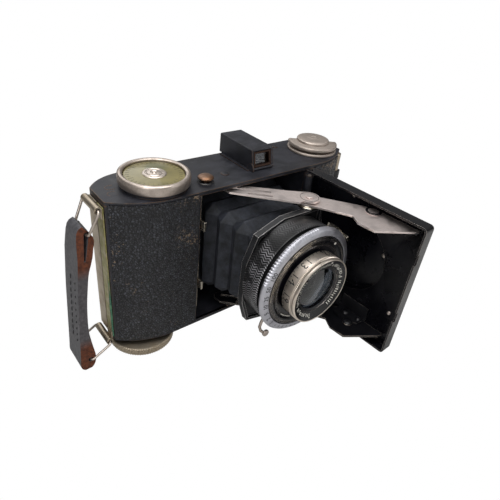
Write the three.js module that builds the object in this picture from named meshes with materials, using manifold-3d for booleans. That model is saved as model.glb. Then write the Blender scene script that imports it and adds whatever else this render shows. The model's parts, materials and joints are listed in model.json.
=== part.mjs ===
// Folding 35 mm camera: a side-hinged front door pulls out a lens standard on a leather bellows.
// Millimetres. X runs to the right seen from the front, the front looks along -Y, and Z is up.
// The origin is on the body's bottom face, under the middle of the film gate. The camera stands open.
import * as THREE from 'three';
import { mergeVertices } from 'three/addons/utils/BufferGeometryUtils.js';
import Module from 'manifold-3d';

const wasm = await Module();
wasm.setup();

// Driving dimensions
const body = {
  left: -60.5, right: 57.2, depth: 28, height: 64, wall: 1.2, plate: 1.5, frontCorner: 22.5, backCorner: 14.5,
};
const frontCornerRadius = 34;
const backCornerRadius = 17.8;
const opening = { halfWidth: 27.2, gateY: 8.2, gateWidth: 36.5, gateHeight: 24.5 };
const seam = { left: -0.5, right: -3.4, gap: 0.3 };
const axisHeight = 35.4;
const standardY = -34;
const leatherThickness = 0.45;
const clearance = 0.3;

const backHinge = { x: 55.3, y: -6, radius: 2, bore: 1.3, pin: 0.9 };
const hinge = { x: 26.6, y: -16.6, radius: 1.8, bore: 1.25, pin: 0.9 };
const door = {
  openDegrees: 93.25, length: 57, overhang: 1.7, low: 1.8, high: 63.5, corner: 1.6, plate: 0.8,
  outer: 3.7, rim: 1.5, rimWall: 0.8, dishInner: 6.8, dishRadius: 17.3, dishAlong: 26.6, dishNear: 4.6,
};
const knee = { x: 11.5, y: -31.6 };
const doorPivot = { x: 27.7, y: -50.9 };
const strutGuide = { x: -9, y: -13, low: 61.4 };
// The lower struts mirror the upper ones about this height.
const strutMirror = 33.4;
const upperLevels = {
  lug: [56.9, 57.9], washer: [57.6, 58.6], bracket: [58.35, 58.8], front: [59, 59.8],
  pivotHead: [59.95, 60.2], rear: [60.3, 61.1], rivetHead: [61.2, 61.6],
};

const dial = { x: -39.2, y: -1, radius: 13.2, low: 65.2, high: 69.3 };
const knob = { x: -47, y: -2, radius: 13.6, low: -6.3, high: -2.1, shaft: 2.6 };
const sprocket = { x: -34.6, y: 3.4 };
const rewind = { x: 43.75, y: 0.4, radius: 11.4, shaft: 2.4, cap: 7.5 };
const release = { x: -21, y: -7.2, radius: 3.1, stem: 1.3 };
const latchBar = { x: -26.4, y: -11.2, width: 1, depth: 2.8, low: 8, high: 62, hooks: [22, 50] };
const finder = { left: 1.2, right: 12.4, front: -8.3, lean: 1.9, back: 15.4, low: 64.2, high: 72.6, wall: 1 };
const tripod = { x: 20, y: 0, radius: 6.5, bore: 4.2, height: 4.2, depth: 3.4 };
const strap = {
  tube: [-62.8, 61.4], upperBar: [-67, 52.5], lowerTube: [-62.8, 0.8], lowerBar: [-71.3, -4.2],
  wire: 0.5, halfWidth: 6.2, topHalfWidth: 3.9, taperFrom: 44, top: 56.5, loop: 1.05,
};
const drum = {
  radius: 21.9, bore: 10.5, hub: 17, front: -12.2, back: -1.7, groove: [-12, -10.2], grooveRadius: 20.6,
};

// Finishes
const finish = (color, roughness, metalness) => ({ color, roughness, metalness });
const enamel = finish(0x1f2024, 0.35, 0);
const leather = finish(0x26272b, 0.75, 0);
const nickel = finish(0xa69c92, 0.35, 1);
const tarnished = finish(0x8f8a5a, 0.5, 0.8);
const brass = finish(0xa8703a, 0.4, 1);
const strutNickel = finish(0xb9aca6, 0.45, 1);
const ringNickel = finish(0xa9a9b4, 0.4, 1);
const celluloid = finish(0xa29a5b, 0.4, 0);
const glass = finish(0x8a96a2, 0.05, 0);
const blackPaint = finish(0x141418, 0.4, 0);
const cloth = finish(0x2a2c2f, 0.85, 0);
const hide = finish(0x4a4b4f, 0.8, 0);

// Solids
function solid(geometry) {
  const plain = geometry.clone();
  for (const name of Object.keys(plain.attributes)) {
    if (name !== 'position') plain.deleteAttribute(name);
  }
  const merged = mergeVertices(plain, 1e-4);
  const triVerts = Uint32Array.from(merged.index.array);
  const vertProperties = Float32Array.from(merged.attributes.position.array);
  const shape = new wasm.Manifold(new wasm.Mesh({ numProp: 3, vertProperties, triVerts }));
  if (shape.volume() > 0) return shape;
  // A profile drawn the other way round gives faces that point in, so they are turned over.
  triVerts.reverse();
  return new wasm.Manifold(new wasm.Mesh({ numProp: 3, vertProperties, triVerts }));
}

function box(x0, x1, y0, y1, z0, z1) {
  const geometry = new THREE.BoxGeometry(x1 - x0, y1 - y0, z1 - z0);
  return solid(geometry.translate((x0 + x1) / 2, (y0 + y1) / 2, (z0 + z1) / 2));
}

function rod(radius, z0, z1, x = 0, y = 0, sides = 16) {
  const geometry = new THREE.CylinderGeometry(radius, radius, z1 - z0, sides);
  return solid(geometry.rotateX(Math.PI / 2).translate(x, y, (z0 + z1) / 2));
}

function rodAlongY(radius, y0, y1, x, z, sides = 16) {
  const geometry = new THREE.CylinderGeometry(radius, radius, y1 - y0, sides);
  return solid(geometry.translate(x, (y0 + y1) / 2, z));
}

function extrude(shape, depth, curveSegments = 5) {
  return new THREE.ExtrudeGeometry(shape, { depth, bevelEnabled: false, curveSegments });
}

// A plan outline in XY carried from z0 to z1.
function slab(shape, z0, z1, curveSegments = 5) {
  return solid(extrude(shape, z1 - z0, curveSegments).translate(0, 0, z0));
}

// A front-view outline in XZ carried from y0 to y1.
function sheet(shape, y0, y1, curveSegments = 3) {
  return solid(extrude(shape, y1 - y0, curveSegments).rotateX(Math.PI / 2).translate(0, y1, 0));
}

// A (y, z) outline extruded along X.
function alongX(shape, x0, x1) {
  const geometry = extrude(shape, x1 - x0);
  geometry.applyMatrix4(new THREE.Matrix4().set(0, 0, 1, x0, 1, 0, 0, 0, 0, 1, 0, 0, 0, 0, 0, 1));
  return solid(geometry);
}

// A closed profile of (radius, y) points turned about Y, or about Z.
function turnAboutY(profile, sides = 36) {
  const points = [...profile, profile[0]].map(([radius, along]) => new THREE.Vector2(radius, along));
  return solid(new THREE.LatheGeometry(points, sides));
}

function turnAboutZ(profile, x, y, sides = 32) {
  const points = profile.map(([radius, along]) => new THREE.Vector2(radius, along));
  return solid(new THREE.LatheGeometry(points, sides).rotateX(Math.PI / 2).translate(x, y, 0));
}

function outline(points) {
  return new THREE.Shape(points.map(([x, y]) => new THREE.Vector2(x, y)));
}

function roundedOutline(x0, x1, y0, y1, radius) {
  const shape = new THREE.Shape();
  shape.absarc(x1 - radius, y0 + radius, radius, -Math.PI / 2, 0, false);
  shape.absarc(x1 - radius, y1 - radius, radius, 0, Math.PI / 2, false);
  shape.absarc(x0 + radius, y1 - radius, radius, Math.PI / 2, Math.PI, false);
  shape.absarc(x0 + radius, y0 + radius, radius, Math.PI, 1.5 * Math.PI, false);
  return shape;
}

// A solid between two like outlines, each a list of [x, y, z] corners.
function loft(rings) {
  const sides = rings[0].length;
  const positions = rings.flat(2);
  const triangles = [];
  for (let ring = 0; ring < rings.length - 1; ring += 1) {
    for (let corner = 0; corner < sides; corner += 1) {
      const a = ring * sides + corner;
      const b = ring * sides + ((corner + 1) % sides);
      triangles.push(a, b, b + sides, a, b + sides, a + sides);
    }
  }
  const last = (rings.length - 1) * sides;
  for (let corner = 1; corner < sides - 1; corner += 1) {
    triangles.push(0, corner + 1, corner, last, last + corner, last + corner + 1);
  }
  const geometry = new THREE.BufferGeometry();
  geometry.setAttribute('position', new THREE.Float32BufferAttribute(positions, 3));
  geometry.setIndex(triangles);
  return solid(geometry);
}

const join = (first, ...others) => others.reduce((total, next) => total.add(next), first);
const cut = (first, ...others) => others.reduce((total, next) => total.subtract(next), first);

const camera = new THREE.Group();

function place(name, shape, look, parent = camera) {
  const mesh = shape.getMesh();
  const geometry = new THREE.BufferGeometry();
  geometry.setAttribute('position', new THREE.BufferAttribute(Float32Array.from(mesh.vertProperties), 3));
  geometry.setIndex(new THREE.BufferAttribute(Uint32Array.from(mesh.triVerts), 1));
  geometry.computeVertexNormals();
  const piece = new THREE.Mesh(geometry, new THREE.MeshStandardMaterial(look));
  piece.name = name;
  parent.add(piece);
  return piece;
}

function groupAt(x, y, z, turn = 0) {
  const group = new THREE.Group();
  group.position.set(x, y, z);
  group.rotation.z = turn;
  camera.add(group);
  return group;
}

const mirrored = ([low, high]) => [2 * strutMirror - high, 2 * strutMirror - low];

// The body's plan: long gentle arcs at the front corners, tighter ones at the back, flat ends.
function bodyPlan(inset) {
  const frontY = frontCornerRadius - body.depth / 2;
  const frontR = frontCornerRadius - inset;
  const backY = body.depth / 2 - backCornerRadius;
  const backR = backCornerRadius - inset;
  const frontTurn = Math.asin(Math.min(1, (body.frontCorner - inset) / frontR));
  const backTurn = Math.asin(Math.min(1, (body.backCorner - inset) / backR));
  const down = -Math.PI / 2;
  const up = Math.PI / 2;
  const shape = new THREE.Shape();
  shape.absarc(body.left + body.frontCorner, frontY, frontR, down - frontTurn, down, false);
  shape.absarc(body.right - body.frontCorner, frontY, frontR, down, down + frontTurn, false);
  shape.absarc(body.right - body.backCorner, backY, backR, up - backTurn, up, false);
  shape.absarc(body.left + body.backCorner, backY, backR, up, up + backTurn, false);
  return shape;
}

const bodyFront = -body.depth / 2;
const bodyBack = body.depth / 2;
const shellLow = body.plate + 0.1;
const shellHigh = body.height - body.plate - 0.1;
const shellRing = () => cut(
  slab(bodyPlan(0), shellLow, shellHigh),
  slab(bodyPlan(body.wall), 0, body.height),
);

function buildBodyShell() {
  const partition = opening.halfWidth + body.wall;
  const front = cut(
    shellRing(),
    box(-70, 0, seam.left, 30, 0, 70),
    box(0, 70, seam.right, 30, 0, 70),
    box(backHinge.x - 1.2, 70, -30, 30, 0, 70),
    box(-opening.halfWidth, opening.halfWidth, -20, 0, 0, 70),
    rod(backHinge.radius + 0.4, 0, 70, backHinge.x, backHinge.y),
  );
  const sides = [-1, 1].map((side) => {
    const inner = side * opening.halfWidth;
    const outer = side * partition;
    return box(Math.min(inner, outer), Math.max(inner, outer), bodyFront + 0.4, 9.2, shellLow, shellHigh);
  });
  const gate = cut(
    box(-partition, partition, opening.gateY, 9.2, 10, 56.4),
    box(-opening.gateWidth / 2, opening.gateWidth / 2, 0, 12,
      axisHeight - opening.gateHeight / 2, axisHeight + opening.gateHeight / 2),
  );
  const lugs = [[3.4, 15], [50, 61]].map(([low, high]) => cut(
    join(
      rod(hinge.radius, low, high, hinge.x, hinge.y),
      box(hinge.x, hinge.x + hinge.radius, hinge.y, bodyFront + 0.5, low, high),
      box(hinge.x + 0.2, opening.halfWidth + 1.2, hinge.y + 1.4, bodyFront + 0.8, low, high),
    ),
    rod(hinge.bore, 0, 70, hinge.x, hinge.y),
  ));
  const knuckles = [[shellLow, 13.6], [50.4, shellHigh]].map(([low, high]) => cut(
    join(
      rod(backHinge.radius, low, high, backHinge.x, backHinge.y, 20),
      box(backHinge.x - 3.4, backHinge.x, backHinge.y - 2, backHinge.y - 0.8, low, high),
    ),
    rod(backHinge.bore, 0, 70, backHinge.x, backHinge.y, 16),
  ));
  place('body_shell', join(front, ...sides, gate, ...lugs, ...knuckles), enamel);
}

function buildPlates() {
  const top = cut(
    slab(bodyPlan(0), body.height - body.plate, body.height),
    rod(2.4, 0, 80, dial.x, dial.y),
    rod(release.stem + clearance, 0, 80, release.x, release.y),
    rod(rewind.shaft + 0.4, 0, 80, rewind.x, rewind.y),
  );
  const guideStud = rod(0.8, strutGuide.low, 63, strutGuide.x, strutGuide.y, 12);
  const dialSeat = cut(rod(12.2, 63.5, 65, dial.x, dial.y, 24), rod(2.4, 60, 70, dial.x, dial.y));
  place('top_plate', join(top, guideStud, dialSeat), enamel);
  const bottom = cut(
    slab(bodyPlan(0), 0, body.plate),
    rod(knob.shaft + 0.4, -1, 5, knob.x, knob.y),
    rod(tripod.radius + 0.15, -1, 5, tripod.x, tripod.y, 24),
  );
  const lowerStud = rod(0.8, 1, 2 * strutMirror - strutGuide.low, strutGuide.x, strutGuide.y, 12);
  place('bottom_plate', join(bottom, lowerStud), enamel);
  const bush = cut(
    rod(tripod.radius, 0, tripod.height, tripod.x, tripod.y, 24),
    rod(tripod.bore, -1, tripod.depth, tripod.x, tripod.y, 24),
  );
  place('tripod_bush', bush, nickel);
}

// Leather panels lie on the front between the end corners and the opening.
function buildFrontLeather() {
  const skin = () => cut(
    slab(bodyPlan(-leatherThickness), 0.9, 63.1),
    slab(bodyPlan(-0.1), 0, body.height + 1),
    box(-70, 70, -5.6, 30, -1, 70),
  );
  place('front_leather_left', skin().intersect(box(-59.8, -28.2, -20, 0, 0, 70)), leather);
  place('front_leather_right', skin().intersect(box(32, 51.3, -20, 0, 0, 70)), leather);
}

function buildBackCover() {
  const cover = cut(
    shellRing(),
    box(-70, 0, -30, seam.left + seam.gap, 0, 70),
    box(0, 70, -30, seam.right + seam.gap, 0, 70),
  );
  const knuckle = cut(
    join(
      rod(backHinge.radius, 14, 50, backHinge.x, backHinge.y),
      box(backHinge.x + 0.8, body.right, backHinge.y, seam.right + 1.4, 14, 50),
    ),
    rod(backHinge.bore, 0, 70, backHinge.x, backHinge.y),
  );
  place('back_cover', join(cover, knuckle), enamel);
  const backSkin = cut(
    slab(bodyPlan(-leatherThickness), 2.6, 61.4),
    slab(bodyPlan(-0.1), 0, body.height + 1),
    box(-70, 70, -30, 8.8, -1, 70),
  );
  place('back_leather', backSkin, leather);
  place('pressure_plate', slab(roundedOutline(-20.5, 20.5, 9.9, 10.7, 0.35), 19.4, 51.4, 2), nickel);
  const leafEnd = [[-14, 11], [-10, 11], [0, 12.2], [10, 11], [14, 11]];
  const leaf = outline([...leafEnd, ...leafEnd.map(([x, y]) => [x, y + 0.4]).reverse()]);
  place('pressure_spring', slab(leaf, 31, 40), nickel);
}

function buildBackHinge() {
  place('back_hinge_pin', rod(backHinge.pin, 1.9, 62.1, backHinge.x, backHinge.y, 16), nickel);
}

// Nickel strips cover the seam at the left end, one on each side of it.
function buildEndStrips() {
  const outside = body.left - 0.2;
  place('end_strip_front', box(outside - 0.5, outside, -5.3, seam.left - 0.1, 2.2, 61.8), tarnished);
  place('end_strip_back', box(outside - 0.5, outside, seam.left + 0.4, 6.3, 2.2, 61.8), nickel);
}

function buildCounterDial() {
  const rim = turnAboutZ([
    [2.4, dial.low], [dial.radius - 1, dial.low], [dial.radius, dial.low + 0.8],
    [dial.radius, dial.high - 0.6], [dial.radius - 0.6, dial.high], [dial.radius - 1.9, dial.high - 0.2],
    [dial.radius - 1.9, dial.low + 1.2], [2.4, dial.low + 1.2], [2.4, dial.low],
  ], dial.x, dial.y);
  place('counter_rim', rim, nickel);
  const disc = join(rod(11, 66.8, 67.7, dial.x, dial.y, 28), rod(2, 61.2, 67, dial.x, dial.y, 16));
  place('counter_disc', disc, celluloid);
  const screw = turnAboutZ([[0, 68], [4.4, 68], [4.4, 68.5], [3.6, 68.9], [0, 69]], dial.x, dial.y, 24);
  place('counter_screw', screw, nickel);
}

function buildAdvance() {
  const handle = turnAboutZ([
    [0, knob.low], [knob.radius - 1.1, knob.low], [knob.radius, knob.low + 0.9],
    [knob.radius, knob.high - 0.7], [knob.radius - 0.8, knob.high], [knob.shaft, knob.high],
    [knob.shaft, 2], [0, 2],
  ], knob.x, knob.y, 36);
  place('advance_knob', handle, nickel);
  const spool = turnAboutZ([
    [0, 2.3], [9, 2.3], [9, 3.5], [5.5, 3.8], [5.5, 56.4], [9, 56.7], [9, 57.9], [0, 57.9],
  ], knob.x, knob.y, 24);
  place('take_up_spool', spool, blackPaint);
  const roller = turnAboutZ([
    [0, 1.9], [2, 1.9], [2, 17.6], [5.2, 17.6], [5.2, 53.2], [2, 53.2], [2, 60.6], [0, 60.6],
  ], sprocket.x, sprocket.y, 24);
  place('sprocket_roller', roller, nickel);
}

function buildRewind() {
  const base = cut(
    turnAboutZ([[0, 64.1], [rewind.radius, 64.1], [rewind.radius, 65.4], [0, 65.4]],
      rewind.x, rewind.y),
    rod(rewind.shaft + 0.4, 60, 70, rewind.x, rewind.y),
  );
  place('rewind_base', base, nickel);
  const wings = turnAboutZ([
    [0, 66], [rewind.radius - 1, 66], [rewind.radius, 66.7], [rewind.radius, 67.6],
    [rewind.radius - 0.6, 68.1], [0, 68.1],
  ], rewind.x, rewind.y);
  const shaft = rod(rewind.shaft, 62.8, 66.5, rewind.x, rewind.y, 16);
  const flat = box(20, 70, rewind.y + 4.6, 30, 60, 80);
  place('rewind_knob', join(cut(wings, flat), shaft), nickel);
  const cap = turnAboutZ([
    [0, 68.3], [rewind.cap, 68.3], [rewind.cap, 69.4], [rewind.cap - 0.8, 70.1], [0, 70.6],
  ], rewind.x, rewind.y, 24);
  place('rewind_cap', cap, nickel);
  const fork = join(
    rod(rewind.shaft, 56, 62.5, rewind.x, rewind.y, 16),
    box(rewind.x - 3.4, rewind.x + 3.4, rewind.y - 0.7, rewind.y + 0.7, 54.5, 58),
  );
  place('rewind_fork', fork, nickel);
}

function buildRelease() {
  const { x, y, radius, stem } = release;
  const cap = turnAboutZ([
    [0, 62.1], [stem, 62.1], [stem, 65.4], [radius, 65.4], [radius, 66], [radius - 0.9, 66.6], [0, 66.9],
  ], x, y, 24);
  place('door_release_button', cap, brass);
  const left = latchBar.x - latchBar.width / 2;
  const right = latchBar.x + latchBar.width / 2;
  const front = latchBar.y - latchBar.depth / 2;
  const back = latchBar.y + latchBar.depth / 2;
  const hooks = latchBar.hooks.map((height) => box(left, right, -16.3, front + 0.5, height - 2, height + 2));
  const tab = outline([
    [left, front], [right, front], [x + 1.3, y - 1.4], [x + 1.3, y + 1.4], [x - 1, y + 1.4], [left, back],
  ]);
  const bar = join(
    box(left, right, front, back, latchBar.low, latchBar.high),
    slab(tab, latchBar.high - 0.35, latchBar.high),
    ...hooks,
  );
  place('latch_bar', bar, nickel);
}

// A reverse-Newton finder: a leaning front frame, a tube and a rear eyepiece.
function buildFinder() {
  const { left, right, front, lean, back, low, high, wall } = finder;
  const side = outline([[front, low], [back, low], [back, high], [front + lean, high]]);
  const tube = cut(
    alongX(side, left, right),
    box(left + wall, right - wall, front - 2, back + 2, low + wall, high - wall),
  );
  place('finder_housing', tube, enamel);
  const leanAt = (z) => ((z - low) / (high - low)) * lean;
  const slanted = (depth0, depth1, z0, z1) => outline([
    [front + leanAt(z0) + depth0, z0], [front + leanAt(z0) + depth1, z0],
    [front + leanAt(z1) + depth1, z1], [front + leanAt(z1) + depth0, z1],
  ]);
  const innerLow = low + wall + 0.1;
  const innerHigh = high - wall - 0.1;
  const frame = cut(
    alongX(slanted(0.2, 1.4, innerLow, innerHigh), left + wall + 0.1, right - wall - 0.1),
    alongX(slanted(-1, 3, innerLow + 0.8, innerHigh - 0.8), left + wall + 0.9, right - wall - 0.9),
  );
  place('finder_front_frame', frame, tarnished);
  const lens = alongX(slanted(1.7, 2.5, innerLow, innerHigh), left + wall + 0.1, right - wall - 0.1);
  place('finder_front_lens', lens, glass);
  const eyepiece = cut(
    box(left + wall + 0.1, right - wall - 0.1, back - 2.2, back - 1, innerLow, innerHigh),
    rodAlongY(2.3, back - 4, back + 2, (left + right) / 2, (low + high) / 2, 20),
  );
  place('finder_eyepiece', eyepiece, enamel);
}

// The carrying strap hangs from wire loops held in tubes at the left end.
function wireLoop(fromX, fromZ, toX, toZ, tubeHalf, barHalf) {
  const corners = [
    [fromX, -tubeHalf, fromZ], [toX, -barHalf, toZ], [toX, barHalf, toZ], [fromX, tubeHalf, fromZ],
  ].map((point) => new THREE.Vector3(...point));
  const rods = corners.map((start, index) => {
    const end = corners[(index + 1) % corners.length];
    const along = end.clone().sub(start);
    const geometry = new THREE.CylinderGeometry(strap.wire, strap.wire, along.length(), 6);
    const upright = new THREE.Vector3(0, 1, 0);
    geometry.applyQuaternion(new THREE.Quaternion().setFromUnitVectors(upright, along.normalize()));
    const middle = start.clone().add(end).multiplyScalar(0.5);
    return solid(geometry.translate(middle.x, middle.y, middle.z));
  });
  const knuckles = corners.map((corner) => {
    const geometry = new THREE.SphereGeometry(strap.wire * 1.1, 6, 4);
    return solid(geometry.translate(corner.x, corner.y, corner.z));
  });
  return join(...rods, ...knuckles);
}

function buildStrap() {
  for (const [name, [x, z]] of [['upper', strap.tube], ['lower', strap.lowerTube]]) {
    const leafLow = name === 'upper' ? z - 4 : z + 0.4;
    const tube = cut(
      join(rodAlongY(1.4, -5.8, 5.8, x, z, 16), box(-61.7, -61.3, -5, -1.2, leafLow, leafLow + 3.6)),
      rodAlongY(0.85, -8, 8, x, z, 12),
    );
    place(`${name}_strap_tube`, tube, nickel);
  }
  place('upper_strap_wire', wireLoop(...strap.tube, ...strap.upperBar, 6.9, 5.9), nickel);
  place('lower_strap_wire', wireLoop(...strap.lowerTube, ...strap.lowerBar, 6.9, 6.9), nickel);
  const face = new THREE.Shape();
  const [upperX, upperZ] = strap.upperBar;
  const [lowerX, lowerZ] = strap.lowerBar;
  face.moveTo(upperX - 1.2, upperZ + 3.4);
  face.splineThru([
    [-70.5, 53.6], [-71.7, 44], [-73.1, 29], [-74.3, 13], [-75.2, -1], [-75.5, -6.6], [-73.9, -8.9],
    [-71.3, -8.8], [-69.7, -6.6], [-69.2, -2.8], [-70.1, 4], [-70.8, 11.8], [-70.3, 22.5], [-69.5, 29.5],
    [-68.4, 37], [-67.1, 41.3], [-65.7, 46.5], [-64.9, 51],
    [upperX - 1.2, upperZ + 3.4],
  ].map(([x, z]) => new THREE.Vector2(x, z)));
  const loops = cut(
    sheet(face, -strap.halfWidth, strap.halfWidth, 3),
    ...[-1, 1].map((side) => {
      const { taperFrom, top } = strap;
      const cutAway = [[strap.halfWidth, taperFrom], [12, taperFrom], [12, top], [strap.topHalfWidth, top]];
      return alongX(outline(cutAway.map(([y, z]) => [side * y, z])), -80, -60);
    }),
    rodAlongY(strap.loop, -8, 8, upperX, upperZ, 12),
    rodAlongY(strap.loop, -8, 8, lowerX, lowerZ, 12),
    sheet(outline([[upperX - 1, upperZ], [upperX + 0.6, upperZ], [-69, 43], [-69.5, 43]]), -8, 8),
  );
  place('strap', loops, hide);
}

// Everything on the door is drawn closed, with the hinge axis at the origin, then turned open.
function buildDoor() {
  const turn = THREE.MathUtils.degToRad(door.openDegrees);
  const leaf = groupAt(hinge.x, hinge.y, 0, turn);
  const { length, overhang, low, high, corner, plate, outer, rim, rimWall } = door;
  const inner = outer - plate;
  const dishCentre = -door.dishAlong;
  const pan = cut(
    sheet(roundedOutline(-length, overhang, low, high, corner), -outer, rim),
    sheet(roundedOutline(-length + rimWall, 20, low + rimWall, high - rimWall, corner - rimWall), -inner, 10),
    box(0.8, 10, -inner, 10, 0, 70),
  );
  // The dish is round, and runs on towards the hinge so that the lens passes it while the door closes.
  const dish = (radius, y0, y1) => {
    const grown = radius - door.dishRadius;
    const run = roundedOutline(dishCentre, grown - door.dishNear, axisHeight - radius, axisHeight + radius, 10);
    return join(rodAlongY(radius, y0, y1, dishCentre, axisHeight, 32), sheet(run, y0, y1, 4));
  };
  const latchSlots = latchBar.hooks.map((height) => (
    box(-length - 1, -length + 2, 0.3, 3, height - 2.4, height + 2.4)
  ));
  const knuckle = join(rod(hinge.radius, 16, 48, 0, 0, 20), box(0, hinge.radius, -outer + 0.3, 0, 16, 48));
  const panel = cut(
    join(pan, dish(door.dishRadius + 0.8, -door.dishInner - 0.7, -outer + 0.1), knuckle),
    dish(door.dishRadius, -door.dishInner, -inner + 0.1),
    rod(hinge.bore, 0, 70, 0, 0, 16),
    ...latchSlots,
  );
  place('door_panel', panel, blackPaint, leaf);
  const skin = cut(
    sheet(
      roundedOutline(-length + 1.2, overhang - 0.6, low + 1.2, high - 1.2, corner - 1),
      -outer - leatherThickness,
      -outer - 0.05,
    ),
    dish(door.dishRadius + 1.3, -20, 0),
  );
  place('door_leather', skin, leather, leaf);

  const pivot = new THREE.Vector2(doorPivot.x - hinge.x, doorPivot.y - hinge.y);
  pivot.rotateAround(new THREE.Vector2(), -turn);
  for (const name of ['upper', 'lower']) {
    const flip = (range) => (name === 'upper' ? range : mirrored(range));
    const [low0, high0] = flip(upperLevels.bracket);
    const flange = name === 'upper' ? [52, high0] : [low0, 66.8 - 52];
    const shelf = outline([
      [pivot.x + 4.5, -inner + 0.5], [pivot.x - 9, -inner + 0.5], [pivot.x - 8, 2.4], [pivot.x - 2, 5],
      [pivot.x + 3.4, 4.4],
    ]);
    const bracket = join(
      slab(shelf, low0, high0),
      box(pivot.x - 9, pivot.x + 4.5, -inner + 0.2, -inner + 0.6, ...flange),
    );
    const [headLow, headHigh] = flip(upperLevels.pivotHead);
    const shank = name === 'upper' ? [high0 - 0.2, headLow + 0.1] : [headHigh - 0.1, low0 + 0.2];
    const head = rod(3.2, headLow, headHigh, pivot.x, pivot.y, 24);
    const rivet = join(head, rod(1, ...shank, pivot.x, pivot.y, 12));
    place(`door_bracket_${name}`, join(bracket, rivet), blackPaint, leaf);
  }
  place('door_hinge_pin', rod(hinge.pin, 4, 61, hinge.x, hinge.y, 16), nickel);
}

function buildStruts() {
  const rearTurn = Math.atan2(strutGuide.y - knee.y, strutGuide.x - knee.x);
  const rearPlan = new THREE.Shape();
  rearPlan.absarc(0, 0, 4.3, Math.PI * 0.36, Math.PI * 1.5, false);
  const farEnd = [[8, -3.4], [32.4, -2.4], [34.4, -0.8], [34, 1.6], [31, 4.2], [3.6, 5.6], [2.9, 4.6]];
  for (const [along, across] of farEnd) {
    rearPlan.lineTo(along, across);
  }
  const frontPlan = outline([
    [15.4, -29.6], [28.6, -46.4], [30.7, -52.8], [31.2, -60], [31.8, -68.2], [31.2, -69.3], [29.6, -69],
    [16.2, -60.6], [15.4, -53.6], [17.8, -48.8], [8.6, -35],
  ].map(([x, y]) => [x - doorPivot.x, y - doorPivot.y]));
  for (const name of ['upper', 'lower']) {
    const flip = (range) => (name === 'upper' ? range : mirrored(range));
    const rearGroup = groupAt(knee.x, knee.y, 0, rearTurn);
    const [rearLow, rearHigh] = flip(upperLevels.rear);
    const slot = (from, to, across, half) => slab(
      roundedOutline(from, to, across - half, across + half, half * 0.9), 0, 70, 3,
    );
    const rear = cut(
      slab(rearPlan, rearLow, rearHigh),
      slot(15, 31.4, 0, 0.8),
      slot(14.2, 24, 3.4, 0.6),
      rod(1.2, 0, 70, 0, 0, 12),
    );
    place(`rear_strut_${name}`, rear, name === 'upper' ? strutNickel : blackPaint, rearGroup);
    const [headLow, headHigh] = flip(upperLevels.rivetHead);
    const shank = name === 'upper' ? [rearLow + 0.1, headLow + 0.1] : [headHigh - 0.1, rearHigh - 0.1];
    const rivet = join(rod(1.7, headLow, headHigh, 0, 0, 20), rod(0.95, ...shank, 0, 0, 12));
    place(`knee_rivet_${name}`, rivet, nickel, rearGroup);

    const frontGroup = groupAt(doorPivot.x, doorPivot.y, 0);
    const [frontLow, frontHigh] = flip(upperLevels.front);
    const eye = rod(4.4, frontLow, frontHigh, knee.x - doorPivot.x, knee.y - doorPivot.y, 28);
    const front = cut(join(slab(frontPlan, frontLow, frontHigh), eye), rod(1.25, 0, 70, 0, 0, 12));
    place(`front_strut_${name}`, front, name === 'upper' ? strutNickel : blackPaint, frontGroup);
  }
}

// Lens standard, shutter and lens: local y = 0 is the standard's front face, on the lens axis.
function standardOutline(inset) {
  const half = [[9, -23.9], [17, -22.2], [20.5, -11.4], [20.5, 6.6], [16.4, 17.6], [16.4, 22.1], [4.5, 22.1]];
  const right = half.map(([x, z]) => [x - inset, z + (z < 0 ? inset : -inset)]);
  const left = [[-16.4, 17.6], [-20.5, 6.6], [-20.5, -11.4], [-17, -22.2], [-9, -23.9]]
    .map(([x, z]) => [x + inset, z + (z < 0 ? inset : -inset)]);
  return outline([...right, [-4.5 + inset, 22.1 - inset], ...left]);
}

function sector(radius0, radius1, fromDegrees, toDegrees, y0, y1) {
  const from = THREE.MathUtils.degToRad(fromDegrees);
  const to = THREE.MathUtils.degToRad(toDegrees);
  const shape = new THREE.Shape();
  shape.absarc(0, 0, radius1, from, to, false);
  shape.absarc(0, 0, radius0, to, from, true);
  return sheet(shape, y0, y1, 4);
}

function buildStandard(lens) {
  const plate = join(
    sheet(standardOutline(0), 0, 1.4),
    cut(sheet(standardOutline(0), -1.4, 0.2), sheet(standardOutline(1), -3, 0.1)),
  );
  const pieces = [];
  for (const name of ['upper', 'lower']) {
    const flip = (range) => (name === 'upper' ? range : mirrored(range));
    const [lugLow, lugHigh] = flip(upperLevels.lug).map((z) => z - axisHeight);
    const neck = name === 'upper' ? [17, lugHigh] : [lugLow, -20];
    pieces.push(box(knee.x - 4, knee.x + 4, 0, 1.4, ...neck));
    const kneeY = knee.y - standardY;
    pieces.push(join(
      box(knee.x - 4, knee.x + 4, 0, kneeY, lugLow, lugHigh),
      rod(4, lugLow, lugHigh, knee.x, kneeY, 24),
    ));
    const washer = flip(upperLevels.washer).map((z) => z - axisHeight);
    pieces.push(rod(3.4, ...washer, knee.x, kneeY, 24));
  }
  place('lens_standard', cut(join(plate, ...pieces), rodAlongY(9.6, -5, 5, 0, 0, 24)), enamel, lens);
  const cell = turnAboutY([[6.6, -0.2], [9.2, -0.2], [9.2, 4], [6.6, 4]], 24);
  place('rear_lens_cell', cell, blackPaint, lens);
  place('rear_lens', rodAlongY(6.3, 1.2, 3.2, 0, 0, 24), glass, lens);
}

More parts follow.
